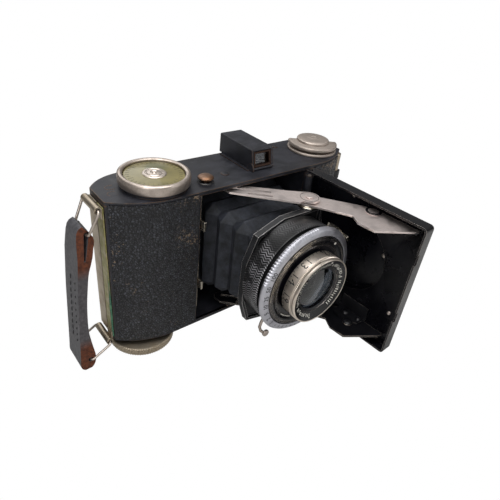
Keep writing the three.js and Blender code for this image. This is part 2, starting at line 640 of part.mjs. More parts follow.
function buildShutter(lens) {
  const housing = cut(
    turnAboutY([[drum.bore, -0.2], [drum.hub, -0.2], [drum.hub, drum.back], [drum.radius, drum.back],
      [drum.radius, drum.front], [drum.bore, drum.front]]),
    cut(rodAlongY(30, ...drum.groove, 0, 0, 8), rodAlongY(drum.grooveRadius, -20, 5, 0, 0, 36)),
    sector(drum.grooveRadius, 30, 218, 242, -10, -8),
  );
  place('shutter_housing', housing, enamel, lens);
  place('speed_ring', turnAboutY([
    [19.8, -12.4], [22.2, -12.4], [22.8, -12.9], [22.8, -13.8], [21.9, -14.6], [19.8, -14.9],
  ]), ringNickel, lens);
  place('shutter_face', turnAboutY([
    [12.2, -12.4], [19.5, -12.4], [19.5, -14.9], [17.4, -15], [16.6, -14.3], [12.2, -14.3],
  ]), blackPaint, lens);
  const cocking = join(
    sector(20.9, 23.8, 30, 68, -11.8, -11.1),
    sector(23.1, 24.3, 30, 36, -14.2, -11.1),
  );
  place('cocking_lever', cocking, nickel, lens);
  const aperture = join(sector(20.9, 22.4, -66, -18, -11, -10.4), sector(21.5, 25.4, -48, -42, -11, -10.4));
  place('aperture_lever', aperture, nickel, lens);
  const trigger = join(
    sector(20.9, 26.4, 222, 232, -9.7, -8.9),
    sector(25.2, 28.4, 226, 237, -9.7, -8.9),
    sector(25.4, 28.4, 232, 237, -12.4, -8.9),
  );
  place('release_lever', trigger, nickel, lens);
}

function buildLens(lens) {
  place('focus_ring', turnAboutY([
    [12.2, -15.3], [14, -15.3], [14, -20.6], [12.2, -20.6],
  ]), nickel, lens);
  place('front_lens_cell', turnAboutY([
    [8.2, -13], [11.9, -13], [11.9, -20.8], [13.9, -20.8], [13.9, -21.9], [9.8, -20.3],
    [9.8, -18], [8.2, -18],
  ]), blackPaint, lens);
  place('front_lens', turnAboutY([
    [0, -20.9], [4, -20.6], [7, -19.9], [9.5, -18.9], [9.5, -18.2], [0, -18.2],
  ], 24), glass, lens);
}

// Pleated bellows with an open light tunnel, from the film gate to the lens standard.
function buildBellows() {
  const rear = { y: 7.4, halfX: 24.4, halfZ: 24, z: 33.2 };
  const front = { y: -32.3, halfX: 16.6, halfZ: 17.4, z: axisHeight };
  const folds = 5;
  const ring = (step, offset) => {
    const along = step / (2 * folds);
    const mix = (a, b) => a + (b - a) * along;
    const halfX = mix(rear.halfX, front.halfX) - offset;
    const halfZ = mix(rear.halfZ, front.halfZ) - offset;
    const z = mix(rear.z, front.z);
    const y = mix(rear.y, front.y);
    return [[-halfX, y, z - halfZ], [-halfX, y, z + halfZ], [halfX, y, z + halfZ], [halfX, y, z - halfZ]];
  };
  const rings = Array.from({ length: 2 * folds + 1 }, (_, step) => ring(step, step % 2 === 1 ? 2.2 : 0));
  const tunnel = [ring(-0.2, 4), ring(2 * folds + 0.2, 4)];
  place('bellows', cut(loft(rings), loft(tunnel)), cloth);
  const frame = cut(
    sheet(roundedOutline(-25.6, 25.6, 10.4, 56, 2), 7.55, 8.05),
    sheet(roundedOutline(-18.6, 18.6, 22.8, 48, 1), 0, 12),
  );
  place('bellows_frame', frame, blackPaint);
}

buildBodyShell();
buildPlates();
buildFrontLeather();
buildBackCover();
buildBackHinge();
buildEndStrips();
buildCounterDial();
buildAdvance();
buildRewind();
buildRelease();
buildFinder();
buildStrap();
buildDoor();
buildStruts();
const lensUnit = groupAt(0, standardY, axisHeight);
buildStandard(lensUnit);
buildShutter(lensUnit);
buildLens(lensUnit);
buildBellows();

export default camera;
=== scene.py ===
import json
from math import atan2, cos, degrees, hypot, pi, radians, sin

import bmesh
import bpy
from mathutils import Matrix, Vector


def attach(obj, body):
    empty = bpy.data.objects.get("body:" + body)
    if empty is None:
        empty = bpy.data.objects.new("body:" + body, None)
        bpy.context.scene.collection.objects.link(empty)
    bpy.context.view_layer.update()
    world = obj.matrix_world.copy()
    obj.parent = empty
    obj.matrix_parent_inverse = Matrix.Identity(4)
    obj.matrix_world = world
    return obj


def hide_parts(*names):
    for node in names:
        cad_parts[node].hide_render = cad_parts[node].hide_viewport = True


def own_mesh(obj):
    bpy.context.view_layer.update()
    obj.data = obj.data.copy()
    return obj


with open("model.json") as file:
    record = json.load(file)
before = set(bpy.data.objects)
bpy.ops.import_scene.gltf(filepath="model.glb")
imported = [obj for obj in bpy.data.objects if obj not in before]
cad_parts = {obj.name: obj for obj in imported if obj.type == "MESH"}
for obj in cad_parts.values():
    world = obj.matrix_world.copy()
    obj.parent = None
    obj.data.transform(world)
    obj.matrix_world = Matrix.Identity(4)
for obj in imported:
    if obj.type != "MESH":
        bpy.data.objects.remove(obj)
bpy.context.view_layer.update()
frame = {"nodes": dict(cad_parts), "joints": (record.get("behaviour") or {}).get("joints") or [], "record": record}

nodes = frame["nodes"]
bodyOfNode = {node: name for name, held in frame["record"]["behaviour"]["bodies"].items() for node in held}
mm = 0.001
lensHeight = 35.4
standardFace = -34.0
plateTop = 64.0
print("frame loaded:", len(nodes), "parts")


def linearColour(code):
    channels = [int(code[i:i + 2], 16) / 255 for i in (1, 3, 5)]
    return tuple(c / 12.92 if c <= 0.04045 else ((c + 0.055) / 1.055) ** 2.4 for c in channels) + (1.0,)


def perMm(size):
    # the scale of a noise whose features are this many millimetres across
    return 1000.0 / size


def feed(tree, node, settings):
    # an input takes a value or is linked to a socket; any other key is a setting of the node itself
    for key, value in settings.items():
        if key == "stops":
            while len(node.color_ramp.elements) < len(value):
                node.color_ramp.elements.new(1.0)
            for element, (place, colour) in zip(node.color_ramp.elements, value):
                element.position = place
                element.color = colour
        elif isinstance(value, bpy.types.NodeSocket):
            tree.links.new(value, node.inputs[key])
        elif isinstance(key, int) or key in node.inputs:
            node.inputs[key].default_value = value
        else:
            setattr(node, key, value)


def addNode(tree, kind, settings=None):
    node = tree.nodes.new("ShaderNode" + kind)
    feed(tree, node, settings or {})
    return node


def startMaterial(name):
    material = bpy.data.materials.new(name)
    material.use_nodes = True
    tree = material.node_tree
    tree.nodes.clear()
    output = addNode(tree, "OutputMaterial")
    shader = addNode(tree, "BsdfPrincipled")
    tree.links.new(shader.outputs[0], output.inputs[0])
    coords = addNode(tree, "TexCoord").outputs["Object"]
    return material, tree, shader, coords


def noise(tree, coords, size, detail=2.0, roughness=0.5):
    # size is that of its features, in millimetres
    settings = {"Scale": perMm(size), "Detail": detail, "Roughness": roughness, "Vector": coords}
    return addNode(tree, "TexNoise", settings).outputs[0]


def cells(tree, coords, size, output="Distance"):
    return addNode(tree, "TexVoronoi", {"Scale": perMm(size), "Vector": coords}).outputs[output]


def remap(tree, value, fromLow, fromHigh, toLow=0.0, toHigh=1.0):
    settings = {"From Min": fromLow, "From Max": fromHigh, "To Min": toLow, "To Max": toHigh, "Value": value}
    return addNode(tree, "MapRange", settings).outputs[0]


def calculate(tree, operation, *terms):
    return addNode(tree, "Math", {"operation": operation, **dict(enumerate(terms))}).outputs[0]


def ramp(tree, value, *stops):
    # stops are (place, colour code) pairs
    colours = [(place, linearColour(code)) for place, code in stops]
    return addNode(tree, "ValToRGB", {"stops": colours, "Fac": value}).outputs[0]


def blend(tree, factor, under, over):
    # each side is a colour code or a socket
    sides = [linearColour(side) if isinstance(side, str) else side for side in (under, over)]
    return addNode(tree, "Mix", {"data_type": "RGBA", 0: factor, 6: sides[0], 7: sides[1]}).outputs[2]


def relief(tree, height, strength, distance, invert=False):
    settings = {"Strength": strength, "Distance": distance * mm, "invert": invert, "Height": height}
    return addNode(tree, "Bump", settings).outputs[0]


def wornEdges(tree, coords, reach, amount):
    # edges rubbed bare: a rounded normal leaves the true one there, and noise breaks the line up
    softNormal = addNode(tree, "Bevel", {"samples": 5, "Radius": reach * mm}).outputs[0]
    trueNormal = addNode(tree, "NewGeometry").outputs["Normal"]
    same = addNode(tree, "VectorMath", {"operation": "DOT_PRODUCT", 0: softNormal, 1: trueNormal})
    grit = noise(tree, coords, 1.8, 5.0, 0.7)
    patches = noise(tree, coords, 11.0)
    broken = calculate(tree, "MULTIPLY", grit, patches)
    bend = remap(tree, same.outputs["Value"], 0.998, 0.9)
    rubbed = calculate(tree, "MULTIPLY", bend, broken)
    return remap(tree, rubbed, 0.36 - amount, 0.46 - amount)


def hairScratches(tree, coords, turn, width, length, threshold):
    # fine straight scratches along one direction in plan; turn is that direction in degrees
    turned = addNode(tree, "Mapping", {"Rotation": (0.0, 0.0, radians(-turn)), "Vector": coords})
    drawnOut = (perMm(length), perMm(width), perMm(width))
    drawn = addNode(tree, "Mapping", {"Scale": drawnOut, "Vector": turned.outputs[0]})
    streaks = {"Scale": 1.0, "Detail": 3.0, "Roughness": 0.6, "Vector": drawn.outputs[0]}
    return remap(tree, addNode(tree, "TexNoise", streaks).outputs[0], threshold, threshold + 0.14)


def stoveEnamel(name, base="#101117", film="#25262e", wear="#8a6f57", wearAmount=0.2, roughness=0.4):
    # stoving enamel on brass: satin black with a dusty film, rubbed to brown metal on its edges
    material, tree, shader, coords = startMaterial(name)
    smudge = noise(tree, coords, 9.0, 6.0, 0.65)
    dust = ramp(tree, smudge, (0.42, base), (0.72, film))
    scratched = blend(tree, hairScratches(tree, coords, 4.0, 0.16, 9.0, 0.6), dust, "#55555a")
    worn = wornEdges(tree, coords, 0.45, wearAmount)
    orangePeel = noise(tree, coords, 0.7)
    height = calculate(tree, "MULTIPLY_ADD", orangePeel, 0.25, worn)
    feed(tree, shader, {
        "Base Color": blend(tree, worn, scratched, wear),
        "Metallic": worn,
        "Roughness": remap(tree, smudge, 0.3, 0.75, roughness, roughness + 0.25),
        "Normal": relief(tree, height, 0.25, 0.05, invert=True),
    })
    return material


def pebbleLeather(name, grain=0.95, base="#1b1c22", crestHighlight="#484a52"):
    # grained leathercloth: rounded pebbles, with painted shade darkening the creases between them and a painted
    # highlight on their crowns, dry scuffs that show the brown hide
    material, tree, shader, coords = startMaterial(name)
    warp = addNode(tree, "TexNoise", {"Scale": perMm(1.6), "Detail": 2.0, "Vector": coords}).outputs["Color"]
    bent = {"operation": "MULTIPLY_ADD", 0: warp, 1: (0.5 * mm,) * 3, 2: coords}
    shifted = addNode(tree, "VectorMath", bent).outputs[0]
    creased = {"feature": "DISTANCE_TO_EDGE", "Scale": perMm(grain), "Vector": shifted}
    pebbles = addNode(tree, "TexVoronoi", creased).outputs["Distance"]
    domed = {"interpolation_type": "SMOOTHSTEP", "From Max": 0.32, "Value": pebbles}
    crown = addNode(tree, "MapRange", domed).outputs[0]
    # painted shade: the creases between the pebbles are coloured near black
    tone = blend(tree, crown, "#050506", base)
    lit = addNode(tree, "SeparateColor", {0: cells(tree, shifted, grain, "Color")}).outputs[0]
    # painted highlight: a lighter colour on the crowns of some pebbles stands in for the glints of light on them
    shine = calculate(tree, "MULTIPLY", remap(tree, lit, 0.3, 1.0, 0.0, 0.8), crown)
    highlightedTone = blend(tree, shine, tone, crestHighlight)
    blotch = noise(tree, coords, 17.0, 3.0)
    flecks = noise(tree, coords, 1.3, 4.0, 0.75)
    height = addNode(tree, "SeparateXYZ", {0: coords}).outputs["Z"]
    # partly scuffs, partly painted highlight: the pale hide colour spreads further near the panel's top edge,
    # standing in for a bright line of light along it
    scuffsAndHighlightNearTop = remap(tree, height, 55.0 * mm, 62.0 * mm, 0.0, 0.07)
    either = calculate(tree, "ADD", calculate(tree, "MULTIPLY", blotch, flecks), scuffsAndHighlightNearTop)
    hide = blend(tree, remap(tree, either, 0.36, 0.41), highlightedTone, "#7b6a58")
    dryStreaks = hairScratches(tree, coords, 12.0, 0.4, 7.0, 0.69)
    feed(tree, shader, {
        "Base Color": blend(tree, dryStreaks, hide, "#77767a"),
        "Roughness": remap(tree, crown, 0.0, 1.0, 0.7, 0.34),
        "Normal": relief(tree, crown, 0.9, 0.26),
    })
    return material


def nickelPlate(name, base="#cdc2b8", stain="#8a7c6e", roughness=0.26, stained=0.5, turn=0.0):
    # dull nickel plate: warm grey metal, soft stains where the plate has thinned, fine handling scratches
    material, tree, shader, coords = startMaterial(name)
    cloud = noise(tree, coords, 5.0, 6.0, 0.62)
    tint = ramp(tree, cloud, (stained, base), (0.95, stain))
    scratch = hairScratches(tree, coords, turn, 0.12, 6.0, 0.56)
    feed(tree, shader, {
        "Base Color": blend(tree, calculate(tree, "MULTIPLY", scratch, 0.45), tint, stain),
        "Metallic": 1.0,
        "Roughness": remap(tree, cloud, 0.3, 0.8, roughness, roughness + 0.22),
        "Normal": relief(tree, scratch, 0.2, 0.02),
    })
    return material


def verdigrisBrass(name):
    # nickelled brass strip gone olive, with green copper salts gathering towards its front edge and foot
    material, tree, shader, coords = startMaterial(name)
    cloud = noise(tree, coords, 3.2, 6.0, 0.7)
    metal = ramp(tree, cloud, (0.35, "#b5aa8c"), (0.55, "#98935c"), (0.8, "#6d6a3c"))
    place = addNode(tree, "SeparateXYZ", {0: coords}).outputs
    towardsFront = remap(tree, place["Y"], -3.4 * mm, -4.8 * mm)
    towardsFoot = remap(tree, place["Z"], 42 * mm, 18 * mm, 0.25, 1.0)
    crust = noise(tree, coords, 2.2, 5.0, 0.7)
    mask = calculate(tree, "ADD", calculate(tree, "MULTIPLY", towardsFront, towardsFoot), crust)
    green = remap(tree, mask, 0.92, 1.3)
    salts = ramp(tree, crust, (0.4, "#264f45"), (0.65, "#5d8a68"))
    feed(tree, shader, {
        "Base Color": blend(tree, green, metal, salts),
        "Metallic": remap(tree, green, 0.0, 1.0, 0.75, 0.0),
        "Roughness": remap(tree, green, 0.0, 1.0, 0.42, 0.9),
        "Normal": relief(tree, mask, 0.5, 0.12),
    })
    return material


def celluloid(name):
    # yellowed celluloid over a printed card: glossy olive with a grey stain beside the screw
    material, tree, shader, coords = startMaterial(name)
    cloud = noise(tree, coords, 6.0, 4.0)
    tone = ramp(tree, cloud, (0.3, "#80774c"), (0.7, "#68613c"))
    stainAt = (-36.0 * mm, 4.2 * mm, 67.7 * mm)
    away = addNode(tree, "VectorMath", {"operation": "DISTANCE", 0: coords, 1: stainAt}).outputs["Value"]
    edge = calculate(tree, "MULTIPLY_ADD", noise(tree, coords, 1.2, 4.0), -4.0 * mm, away)
    stain = remap(tree, edge, 3.2 * mm, 0.6 * mm, 0.0, 0.75)
    feed(tree, shader, {
        "Base Color": blend(tree, stain, tone, "#55593c"),
        "Roughness": 0.38,
        "Coat Weight": 0.4,
        "Normal": relief(tree, cloud, 0.15, 0.1),
    })
    return material


def blackLacquer(name, roughness=0.16, base="#040408", wear="#a29a94", wearAmount=0.24):
    # gloss black lacquer: near-black with a cold sheen, dust specks, and bright metal on rubbed edges
    material, tree, shader, coords = startMaterial(name)
    haze = noise(tree, coords, 14.0, 5.0, 0.6)
    tone = ramp(tree, haze, (0.45, base), (0.85, "#0f1017"))
    dust = remap(tree, noise(tree, coords, 0.8), 0.72, 0.8, 0.0, 0.3)
    dusty = blend(tree, dust, tone, "#5b5a60")
    worn = wornEdges(tree, coords, 0.35, wearAmount)
    feed(tree, shader, {
        "Base Color": blend(tree, worn, dusty, wear),
        "Metallic": worn,
        "Roughness": remap(tree, haze, 0.3, 0.8, roughness, roughness + 0.28),
        "Normal": relief(tree, haze, 0.12, 0.15),
    })
    return material


def bellowsLeather(name):
    # thin skiver over cloth: matt charcoal with a fine grain, paler where the folds rub
    material, tree, shader, coords = startMaterial(name)
    tone = ramp(tree, noise(tree, coords, 4.0, 6.0, 0.7), (0.35, "#0e1014"), (0.8, "#30333c"))
    pale = calculate(tree, "MULTIPLY", wornEdges(tree, coords, 0.6, 0.16), 0.7)
    creases = hairScratches(tree, coords, 15.0, 0.7, 6.0, 0.6)
    height = calculate(tree, "MULTIPLY_ADD", cells(tree, coords, 0.45), 0.4, creases)
    feed(tree, shader, {
        "Base Color": blend(tree, pale, tone, "#55585b"),
        "Roughness": 0.68,
        "Specular IOR Level": 0.35,
        "Normal": relief(tree, height, 0.4, 0.1),
    })
    return material


def strapLeather(name):
    # bridle leather dyed black on its faces; the cut sides show the brown hide, furred and stained
    material, tree, shader, coords = startMaterial(name)
    facing = addNode(tree, "SeparateXYZ", {0: addNode(tree, "NewGeometry").outputs["Normal"]}).outputs
    inward = remap(tree, facing["X"], 0.35, 0.8, 0.0, 0.55)
    side = calculate(tree, "MAXIMUM", calculate(tree, "ABSOLUTE", facing["Y"]), inward)
    fur = noise(tree, coords, 1.5, 6.0, 0.75)
    cutSide = remap(tree, calculate(tree, "MULTIPLY_ADD", fur, 0.5, side), 0.78, 1.0)
    # the brown shows towards the strap's ends, away from its middle
    height = addNode(tree, "SeparateXYZ", {0: coords}).outputs["Z"]
    away = calculate(tree, "ABSOLUTE", calculate(tree, "ADD", height, -21.5 * mm))
    brown = calculate(tree, "MULTIPLY", cutSide, remap(tree, away, 14.0 * mm, 19.0 * mm, 0.06, 1.0))
    hide = ramp(tree, fur, (0.3, "#2e1409"), (0.7, "#6e3a20"))
    dyed = ramp(tree, fur, (0.3, "#2b2b2e"), (0.75, "#58575b"))
    pitted = calculate(tree, "MULTIPLY_ADD", fur, 1.5, cells(tree, coords, 0.55))
    feed(tree, shader, {
        "Base Color": blend(tree, brown, dyed, hide),
        "Roughness": remap(tree, brown, 0.0, 1.0, 0.58, 0.95),
        "Normal": relief(tree, pitted, 0.4, 0.16),
    })
    return material


drumCuts = {"radius": 21.9, "pitch": 1.05, "wave": 3.0, "swing": 1.8, "inside": 21.5}


def engineTurnedDrum(name):
    # black enamel drum, engine turned: wavy cuts along it go through to bright metal
    material, tree, shader, coords = startMaterial(name)
    centred = addNode(tree, "Mapping", {"Location": (0.0, 0.0, -lensHeight * mm), "Vector": coords})
    place = addNode(tree, "SeparateXYZ", {0: centred.outputs[0]}).outputs
    angle = calculate(tree, "ARCTAN2", place["Z"], place["X"])
    along = calculate(tree, "MULTIPLY", place["Y"], 1 / (drumCuts["wave"] * mm))
    wave = calculate(tree, "PINGPONG", along, 0.5)
    turns = calculate(tree, "MULTIPLY", angle, drumCuts["radius"] / drumCuts["pitch"])
    part = calculate(tree, "FRACT", calculate(tree, "MULTIPLY_ADD", wave, drumCuts["swing"], turns))
    offset = calculate(tree, "ABSOLUTE", calculate(tree, "SUBTRACT", part, 0.5))
    groove = remap(tree, offset, 0.21, 0.13)
    kept = remap(tree, noise(tree, coords, 8.0, 3.0), 0.42, 0.6, 0.04, 1.0)
    flat = addNode(tree, "CombineXYZ", {0: place["X"], 2: place["Z"]}).outputs[0]
    radius = addNode(tree, "VectorMath", {"operation": "LENGTH", 0: flat}).outputs["Value"]
    outside = calculate(tree, "GREATER_THAN", radius, drumCuts["inside"] * mm)
    masked = calculate(tree, "MULTIPLY", groove, outside)
    # the bright cuts fade out towards the top of the drum
    fadesTowardsTop = remap(tree, place["Z"], 19.0 * mm, 9.0 * mm, 0.12, 1.0)
    bright = calculate(tree, "MULTIPLY", masked, calculate(tree, "MULTIPLY", kept, fadesTowardsTop))
    feed(tree, shader, {
        "Base Color": blend(tree, bright, "#050506", "#d6d5da"),
        "Metallic": bright,
        "Roughness": 0.34,
        "Normal": relief(tree, masked, 0.8, 0.08, invert=True),
    })
    return material


def opticalGlass(name, tint="#d6e2f2"):
    # polished crown glass, uncoated
    material, tree, shader, coords = startMaterial(name)
    dust = noise(tree, coords, 1.5, 6.0, 0.8)
    feed(tree, shader, {
        "Base Color": linearColour(tint),
        "Roughness": remap(tree, dust, 0.45, 0.85, 0.015, 0.12),
        "Transmission Weight": 1.0,
        "IOR": 1.75,
    })
    return material


def engravingFill(name, code, roughness=0.6):
    # matt paint wiped into engraving, a little uneven
    material, tree, shader, coords = startMaterial(name)
    full = linearColour(code)
    thin = tuple(c * 0.72 for c in full[:3]) + (1.0,)
    settings = {"stops": [(0.3, thin), (0.6, full)], "Fac": noise(tree, coords, 0.9, 4.0)}
    feed(tree, shader, {"Base Color": addNode(tree, "ValToRGB", settings).outputs[0], "Roughness": roughness})
    return material


finishes = {
    "enamel": stoveEnamel("black_stove_enamel"),
    "finderEnamel": stoveEnamel("black_stove_enamel_worn", wear="#6e5546", wearAmount=0.24),
    "standardEnamel": stoveEnamel("satin_black_enamel", base="#0b0c0e", film="#17181c", wear="#c5c2c0",
                                  wearAmount=0.31, roughness=0.36),
    "leather": pebbleLeather("pebble_grain_leather"),
    "nickel": nickelPlate("dull_nickel_plate", roughness=0.3),
    "rimNickel": nickelPlate("worn_nickel_rim", base="#c6bab0", stain="#75685c", roughness=0.34,
                             stained=0.44),
    "knobNickel": nickelPlate("yellowed_nickel_plate", base="#b3a795", stain="#8a795f", roughness=0.34),
    "capNickel": nickelPlate("matt_nickel_plate", base="#b8ada4", stain="#92877c", roughness=0.45),
    "rearStrutNickel": nickelPlate("satin_nickel_strip", base="#f0e4df", stain="#b5a8a2", roughness=0.36,
                                   turn=138.0),
    "frontStrutNickel": nickelPlate("satin_nickel_plate", base="#f0e4df", stain="#b5a8a2", roughness=0.36,
                                    turn=-55.0),
    "ringNickel": nickelPlate("engraved_nickel_silver", base="#c3c3ca", stain="#8d8d95", roughness=0.36),
    "barrelNickel": nickelPlate("warm_nickel_barrel", base="#eadfd2", stain="#a59686", roughness=0.25),
    "brightNickel": nickelPlate("bright_nickel", base="#cbc4b6", stain="#9b9078", roughness=0.16),
    "bladeSteel": nickelPlate("blued_blade_steel", base="#b6bec9", stain="#6b717c", roughness=0.3),
    "buttonBrass": nickelPlate("rubbed_brass", base="#7c5c46", stain="#a0938a", roughness=0.4, stained=0.4),
    "copperFrame": nickelPlate("browned_brass", base="#4a3a33", stain="#2b221d", roughness=0.45),
    "verdigris": verdigrisBrass("verdigris_brass"),
    "celluloid": celluloid("yellowed_celluloid"),
    "lacquer": blackLacquer("gloss_black_lacquer"),
    "wornLacquer": blackLacquer("worn_black_lacquer", roughness=0.3, wear="#cfc3b6", wearAmount=0.3),
    "dullLacquer": blackLacquer("matt_black_lacquer", roughness=0.34, wearAmount=0.1),
    "bellows": bellowsLeather("bellows_skiver"),
    "strap": strapLeather("bridle_leather"),
    "drum": engineTurnedDrum("engine_turned_enamel"),
    "glass": opticalGlass("crown_glass"),
    "whiteFill": engravingFill("white_engraving_fill", "#d9d6cc"),
    "blackFill": engravingFill("black_engraving_fill", "#1a1a1c"),
    "thread": engravingFill("waxed_linen_thread", "#1c1b1c", 0.8),
}
print("materials made:", len(finishes))


# distances in millimetres and angles in degrees
meshing = {"weld": 0.0008, "partWeld": 0.002, "numeralWeld": 0.0005, "flatAngle": 0.6, "roundedAngle": 38}


def addPiece(name, work, finish, body, replaced=(), sharp=32, mended=True):
    # work is a bmesh in millimetres, in place
    bmesh.ops.remove_doubles(work, verts=work.verts, dist=meshing["weld"])
    if mended:
        bmesh.ops.recalc_face_normals(work, faces=work.faces)
    bmesh.ops.scale(work, vec=(mm, mm, mm), verts=work.verts)
    mesh = bpy.data.meshes.new(name)
    work.to_mesh(mesh)
    work.free()
    mesh.shade_smooth()
    mesh.set_sharp_from_angle(angle=radians(sharp))
    piece = bpy.data.objects.new(name, mesh)
    bpy.context.scene.collection.objects.link(piece)
    mesh.materials.append(finishes[finish])
    if replaced:
        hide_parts(*replaced)
    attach(piece, body)
    return piece


def addTurned(work, profile, centre, axis, steps=128):
    # turns a profile of (radius, along) pairs, closed or ending on the axis, about an axis along Y or Z
    made = []
    for radius, along in profile:
        offset = (radius, along, 0.0) if axis == "Y" else (radius, 0.0, along)
        made.append(work.verts.new(Vector(centre) + Vector(offset)))
    closed = profile[0][0] > 0 and profile[-1][0] > 0
    pairs = list(zip(made, made[1:] + made[:1])) if closed else list(zip(made, made[1:]))
    edges = [work.edges.new(pair) for pair in pairs]
    spinAxis = (0, 1, 0) if axis == "Y" else (0, 0, 1)
    bmesh.ops.spin(work, geom=made + edges, cent=centre, axis=spinAxis, angle=2 * pi, steps=steps,
                   use_merge=True)
    bmesh.ops.remove_doubles(work, verts=work.verts, dist=meshing["weld"])
    return work


def turnedPiece(name, profile, centre, axis, finish, body, replaced=(), steps=128, sharp=32):
    work = addTurned(bmesh.new(), profile, centre, axis, steps)
    return addPiece(name, work, finish, body, replaced, sharp)


def refinedPiece(node, finish, bevel=0.25, segments=2, sharp=32, name=None):
    # a copy of a part with its loose triangles joined and its hard edges rounded
    work = bmesh.new()
    work.from_mesh(nodes[node].data)
    bmesh.ops.scale(work, vec=(1000, 1000, 1000), verts=work.verts)
    bmesh.ops.remove_doubles(work, verts=work.verts, dist=meshing["partWeld"])
    flatAngle = radians(meshing["flatAngle"])
    bmesh.ops.dissolve_limit(work, angle_limit=flatAngle, verts=work.verts, edges=work.edges)
    body = bodyOfNode[node]
    piece = addPiece(name or node + "_finished", work, finish, body, [node], sharp, mended=False)
    if bevel:
        rounding = piece.modifiers.new("rounding", "BEVEL")
        rounding.width = bevel * mm
        rounding.segments = segments
        rounding.limit_method = "ANGLE"
        rounding.angle_limit = radians(meshing["roundedAngle"])
        rounding.harden_normals = True
    return piece


def rounded(cornerPoints, radius, steps=5):
    # points of an outline whose corners are rounded by short arcs
    points = []
    count = len(cornerPoints)
    for index, corner in enumerate(cornerPoints):
        here = Vector(corner)
        before = (Vector(cornerPoints[index - 1]) - here).normalized()
        after = (Vector(cornerPoints[(index + 1) % count]) - here).normalized()
        start = here + before * radius
        end = here + after * radius
        for step in range(steps + 1):
            share = step / steps
            curved = start * (1 - share) ** 2 + here * 2 * share * (1 - share) + end * share ** 2
            points.append(curved[:])
    return points


def addSlab(work, outline, low, high, plane="XY"):
    # an outline filled and carried from low to high; plane names the two axes that it is drawn in
    def spot(point, height):
        x, y = point
        return {"XY": (x, y, height), "XZ": (x, height, y), "YZ": (height, x, y)}[plane]
    ring = [work.verts.new(spot(point, low)) for point in outline]
    face = work.faces.new(ring)
    grown = bmesh.ops.extrude_face_region(work, geom=[face])
    lifted = [item for item in grown["geom"] if isinstance(item, bmesh.types.BMVert)]
    shift = Vector(spot((0, 0), high)) - Vector(spot((0, 0), low))
    bmesh.ops.translate(work, vec=shift, verts=lifted)


def bendTube(work, path, radius, sides=16):
    # a round wire along a closed or open path of points
    closed = (Vector(path[0]) - Vector(path[-1])).length < 1e-4
    points = [Vector(point) for point in (path[:-1] if closed else path)]
    count = len(points)
    rings = []
    side = None
    for index, point in enumerate(points):
        ahead = points[(index + 1) % count] if closed or index < count - 1 else point
        behind = points[index - 1] if closed or index > 0 else point
        along = (ahead - behind).normalized()
        if side is None:
            side = along.orthogonal().normalized()
        side = (side - along * side.dot(along)).normalized()
        across = along.cross(side)
        rings.append([work.verts.new(point + (side * cos(turn) + across * sin(turn)) * radius)
                      for turn in (2 * pi * k / sides for k in range(sides))])
    pairs = list(zip(rings, rings[1:] + rings[:1])) if closed else list(zip(rings, rings[1:]))
    for first, second in pairs:
        for k in range(sides):
            work.faces.new((first[k], first[(k + 1) % sides], second[(k + 1) % sides], second[k]))
    if not closed:
        work.faces.new(rings[0][::-1])
        work.faces.new(rings[-1])


def addNumeral(words, size, depth, put):
    # a flat numeral as a thin solid; put sends its (x, y, height) in millimetres to its place
    curve = bpy.data.curves.new("numeral", "FONT")
    curve.body = words
    curve.size = size
    curve.align_x = "CENTER"
    curve.align_y = "CENTER"
    curve.extrude = depth / 2
    curve.resolution_u = 3
    holder = bpy.data.objects.new("numeral", curve)
    bpy.context.scene.collection.objects.link(holder)
    shape = bpy.data.meshes.new_from_object(holder)
    bpy.data.objects.remove(holder)
    bpy.data.curves.remove(curve)
    work = bmesh.new()
    work.from_mesh(shape)
    bpy.data.meshes.remove(shape)
    bmesh.ops.remove_doubles(work, verts=work.verts, dist=meshing["numeralWeld"])
    for vert in work.verts:
        vert.co = Vector(put(*vert.co))
    return work


def mergedInto(work, other):
    # adds another bmesh's shapes to this one
    shape = bpy.data.meshes.new("joined")
    other.to_mesh(shape)
    other.free()
    work.from_mesh(shape)
    bpy.data.meshes.remove(shape)


def aroundLens(radius, degreesRound, y):
    turn = radians(degreesRound)
    return Vector((radius * cos(turn), y, lensHeight + radius * sin(turn)))


def cutGrooves(work, centre, upright, grooves, depth, chosen):
    # straight coining round an axis through centre: every groove takes half of each pitch. upright is the
    # index of the second coordinate of the plane that it turns in, and chosen picks vertices
    for vert in work.verts:
        across = vert.co[0] - centre[0]
        up = vert.co[upright] - centre[upright]
        radius = hypot(across, up)
        turn = degrees(atan2(up, across)) % 360
        step = round(turn / 360 * grooves * 4) % 4
        if step in (2, 3) and chosen(radius, turn, vert.co.y):
            vert.co[0] -= depth * across / radius
            vert.co[upright] -= depth * up / radius


def arcTicks(name, marks, y, thickness, finish, body):
    # short flat marks on a ring about the lens axis: radii, degrees round, and the lift at each radius
    work = bmesh.new()
    degreesPerStep = 4
    for inner, outer, start, end, lift in marks:
        steps = max(1, int(abs(end - start) / degreesPerStep))
        for step in range(steps):
            first = start + (end - start) * step / steps
            second = start + (end - start) * (step + 1) / steps
            corners = [(inner, first, lift[0]), (outer, first, lift[1]), (outer, second, lift[1]),
                       (inner, second, lift[0])]
            low = [work.verts.new(aroundLens(r, a, y + rise)) for r, a, rise in corners]
            high = [work.verts.new(aroundLens(r, a, y + rise - thickness)) for r, a, rise in corners]
            work.faces.new(low)
            work.faces.new(high[::-1])
            for k in range(4):
                work.faces.new((low[k], low[(k + 1) % 4], high[(k + 1) % 4], high[k])[::-1])
    return addPiece(name, work, finish, body)


bodyLook = {"shellBevel": 0.3, "plateBevel": 0.55, "leatherBevel": 0.22, "stripBevel": 0.15}

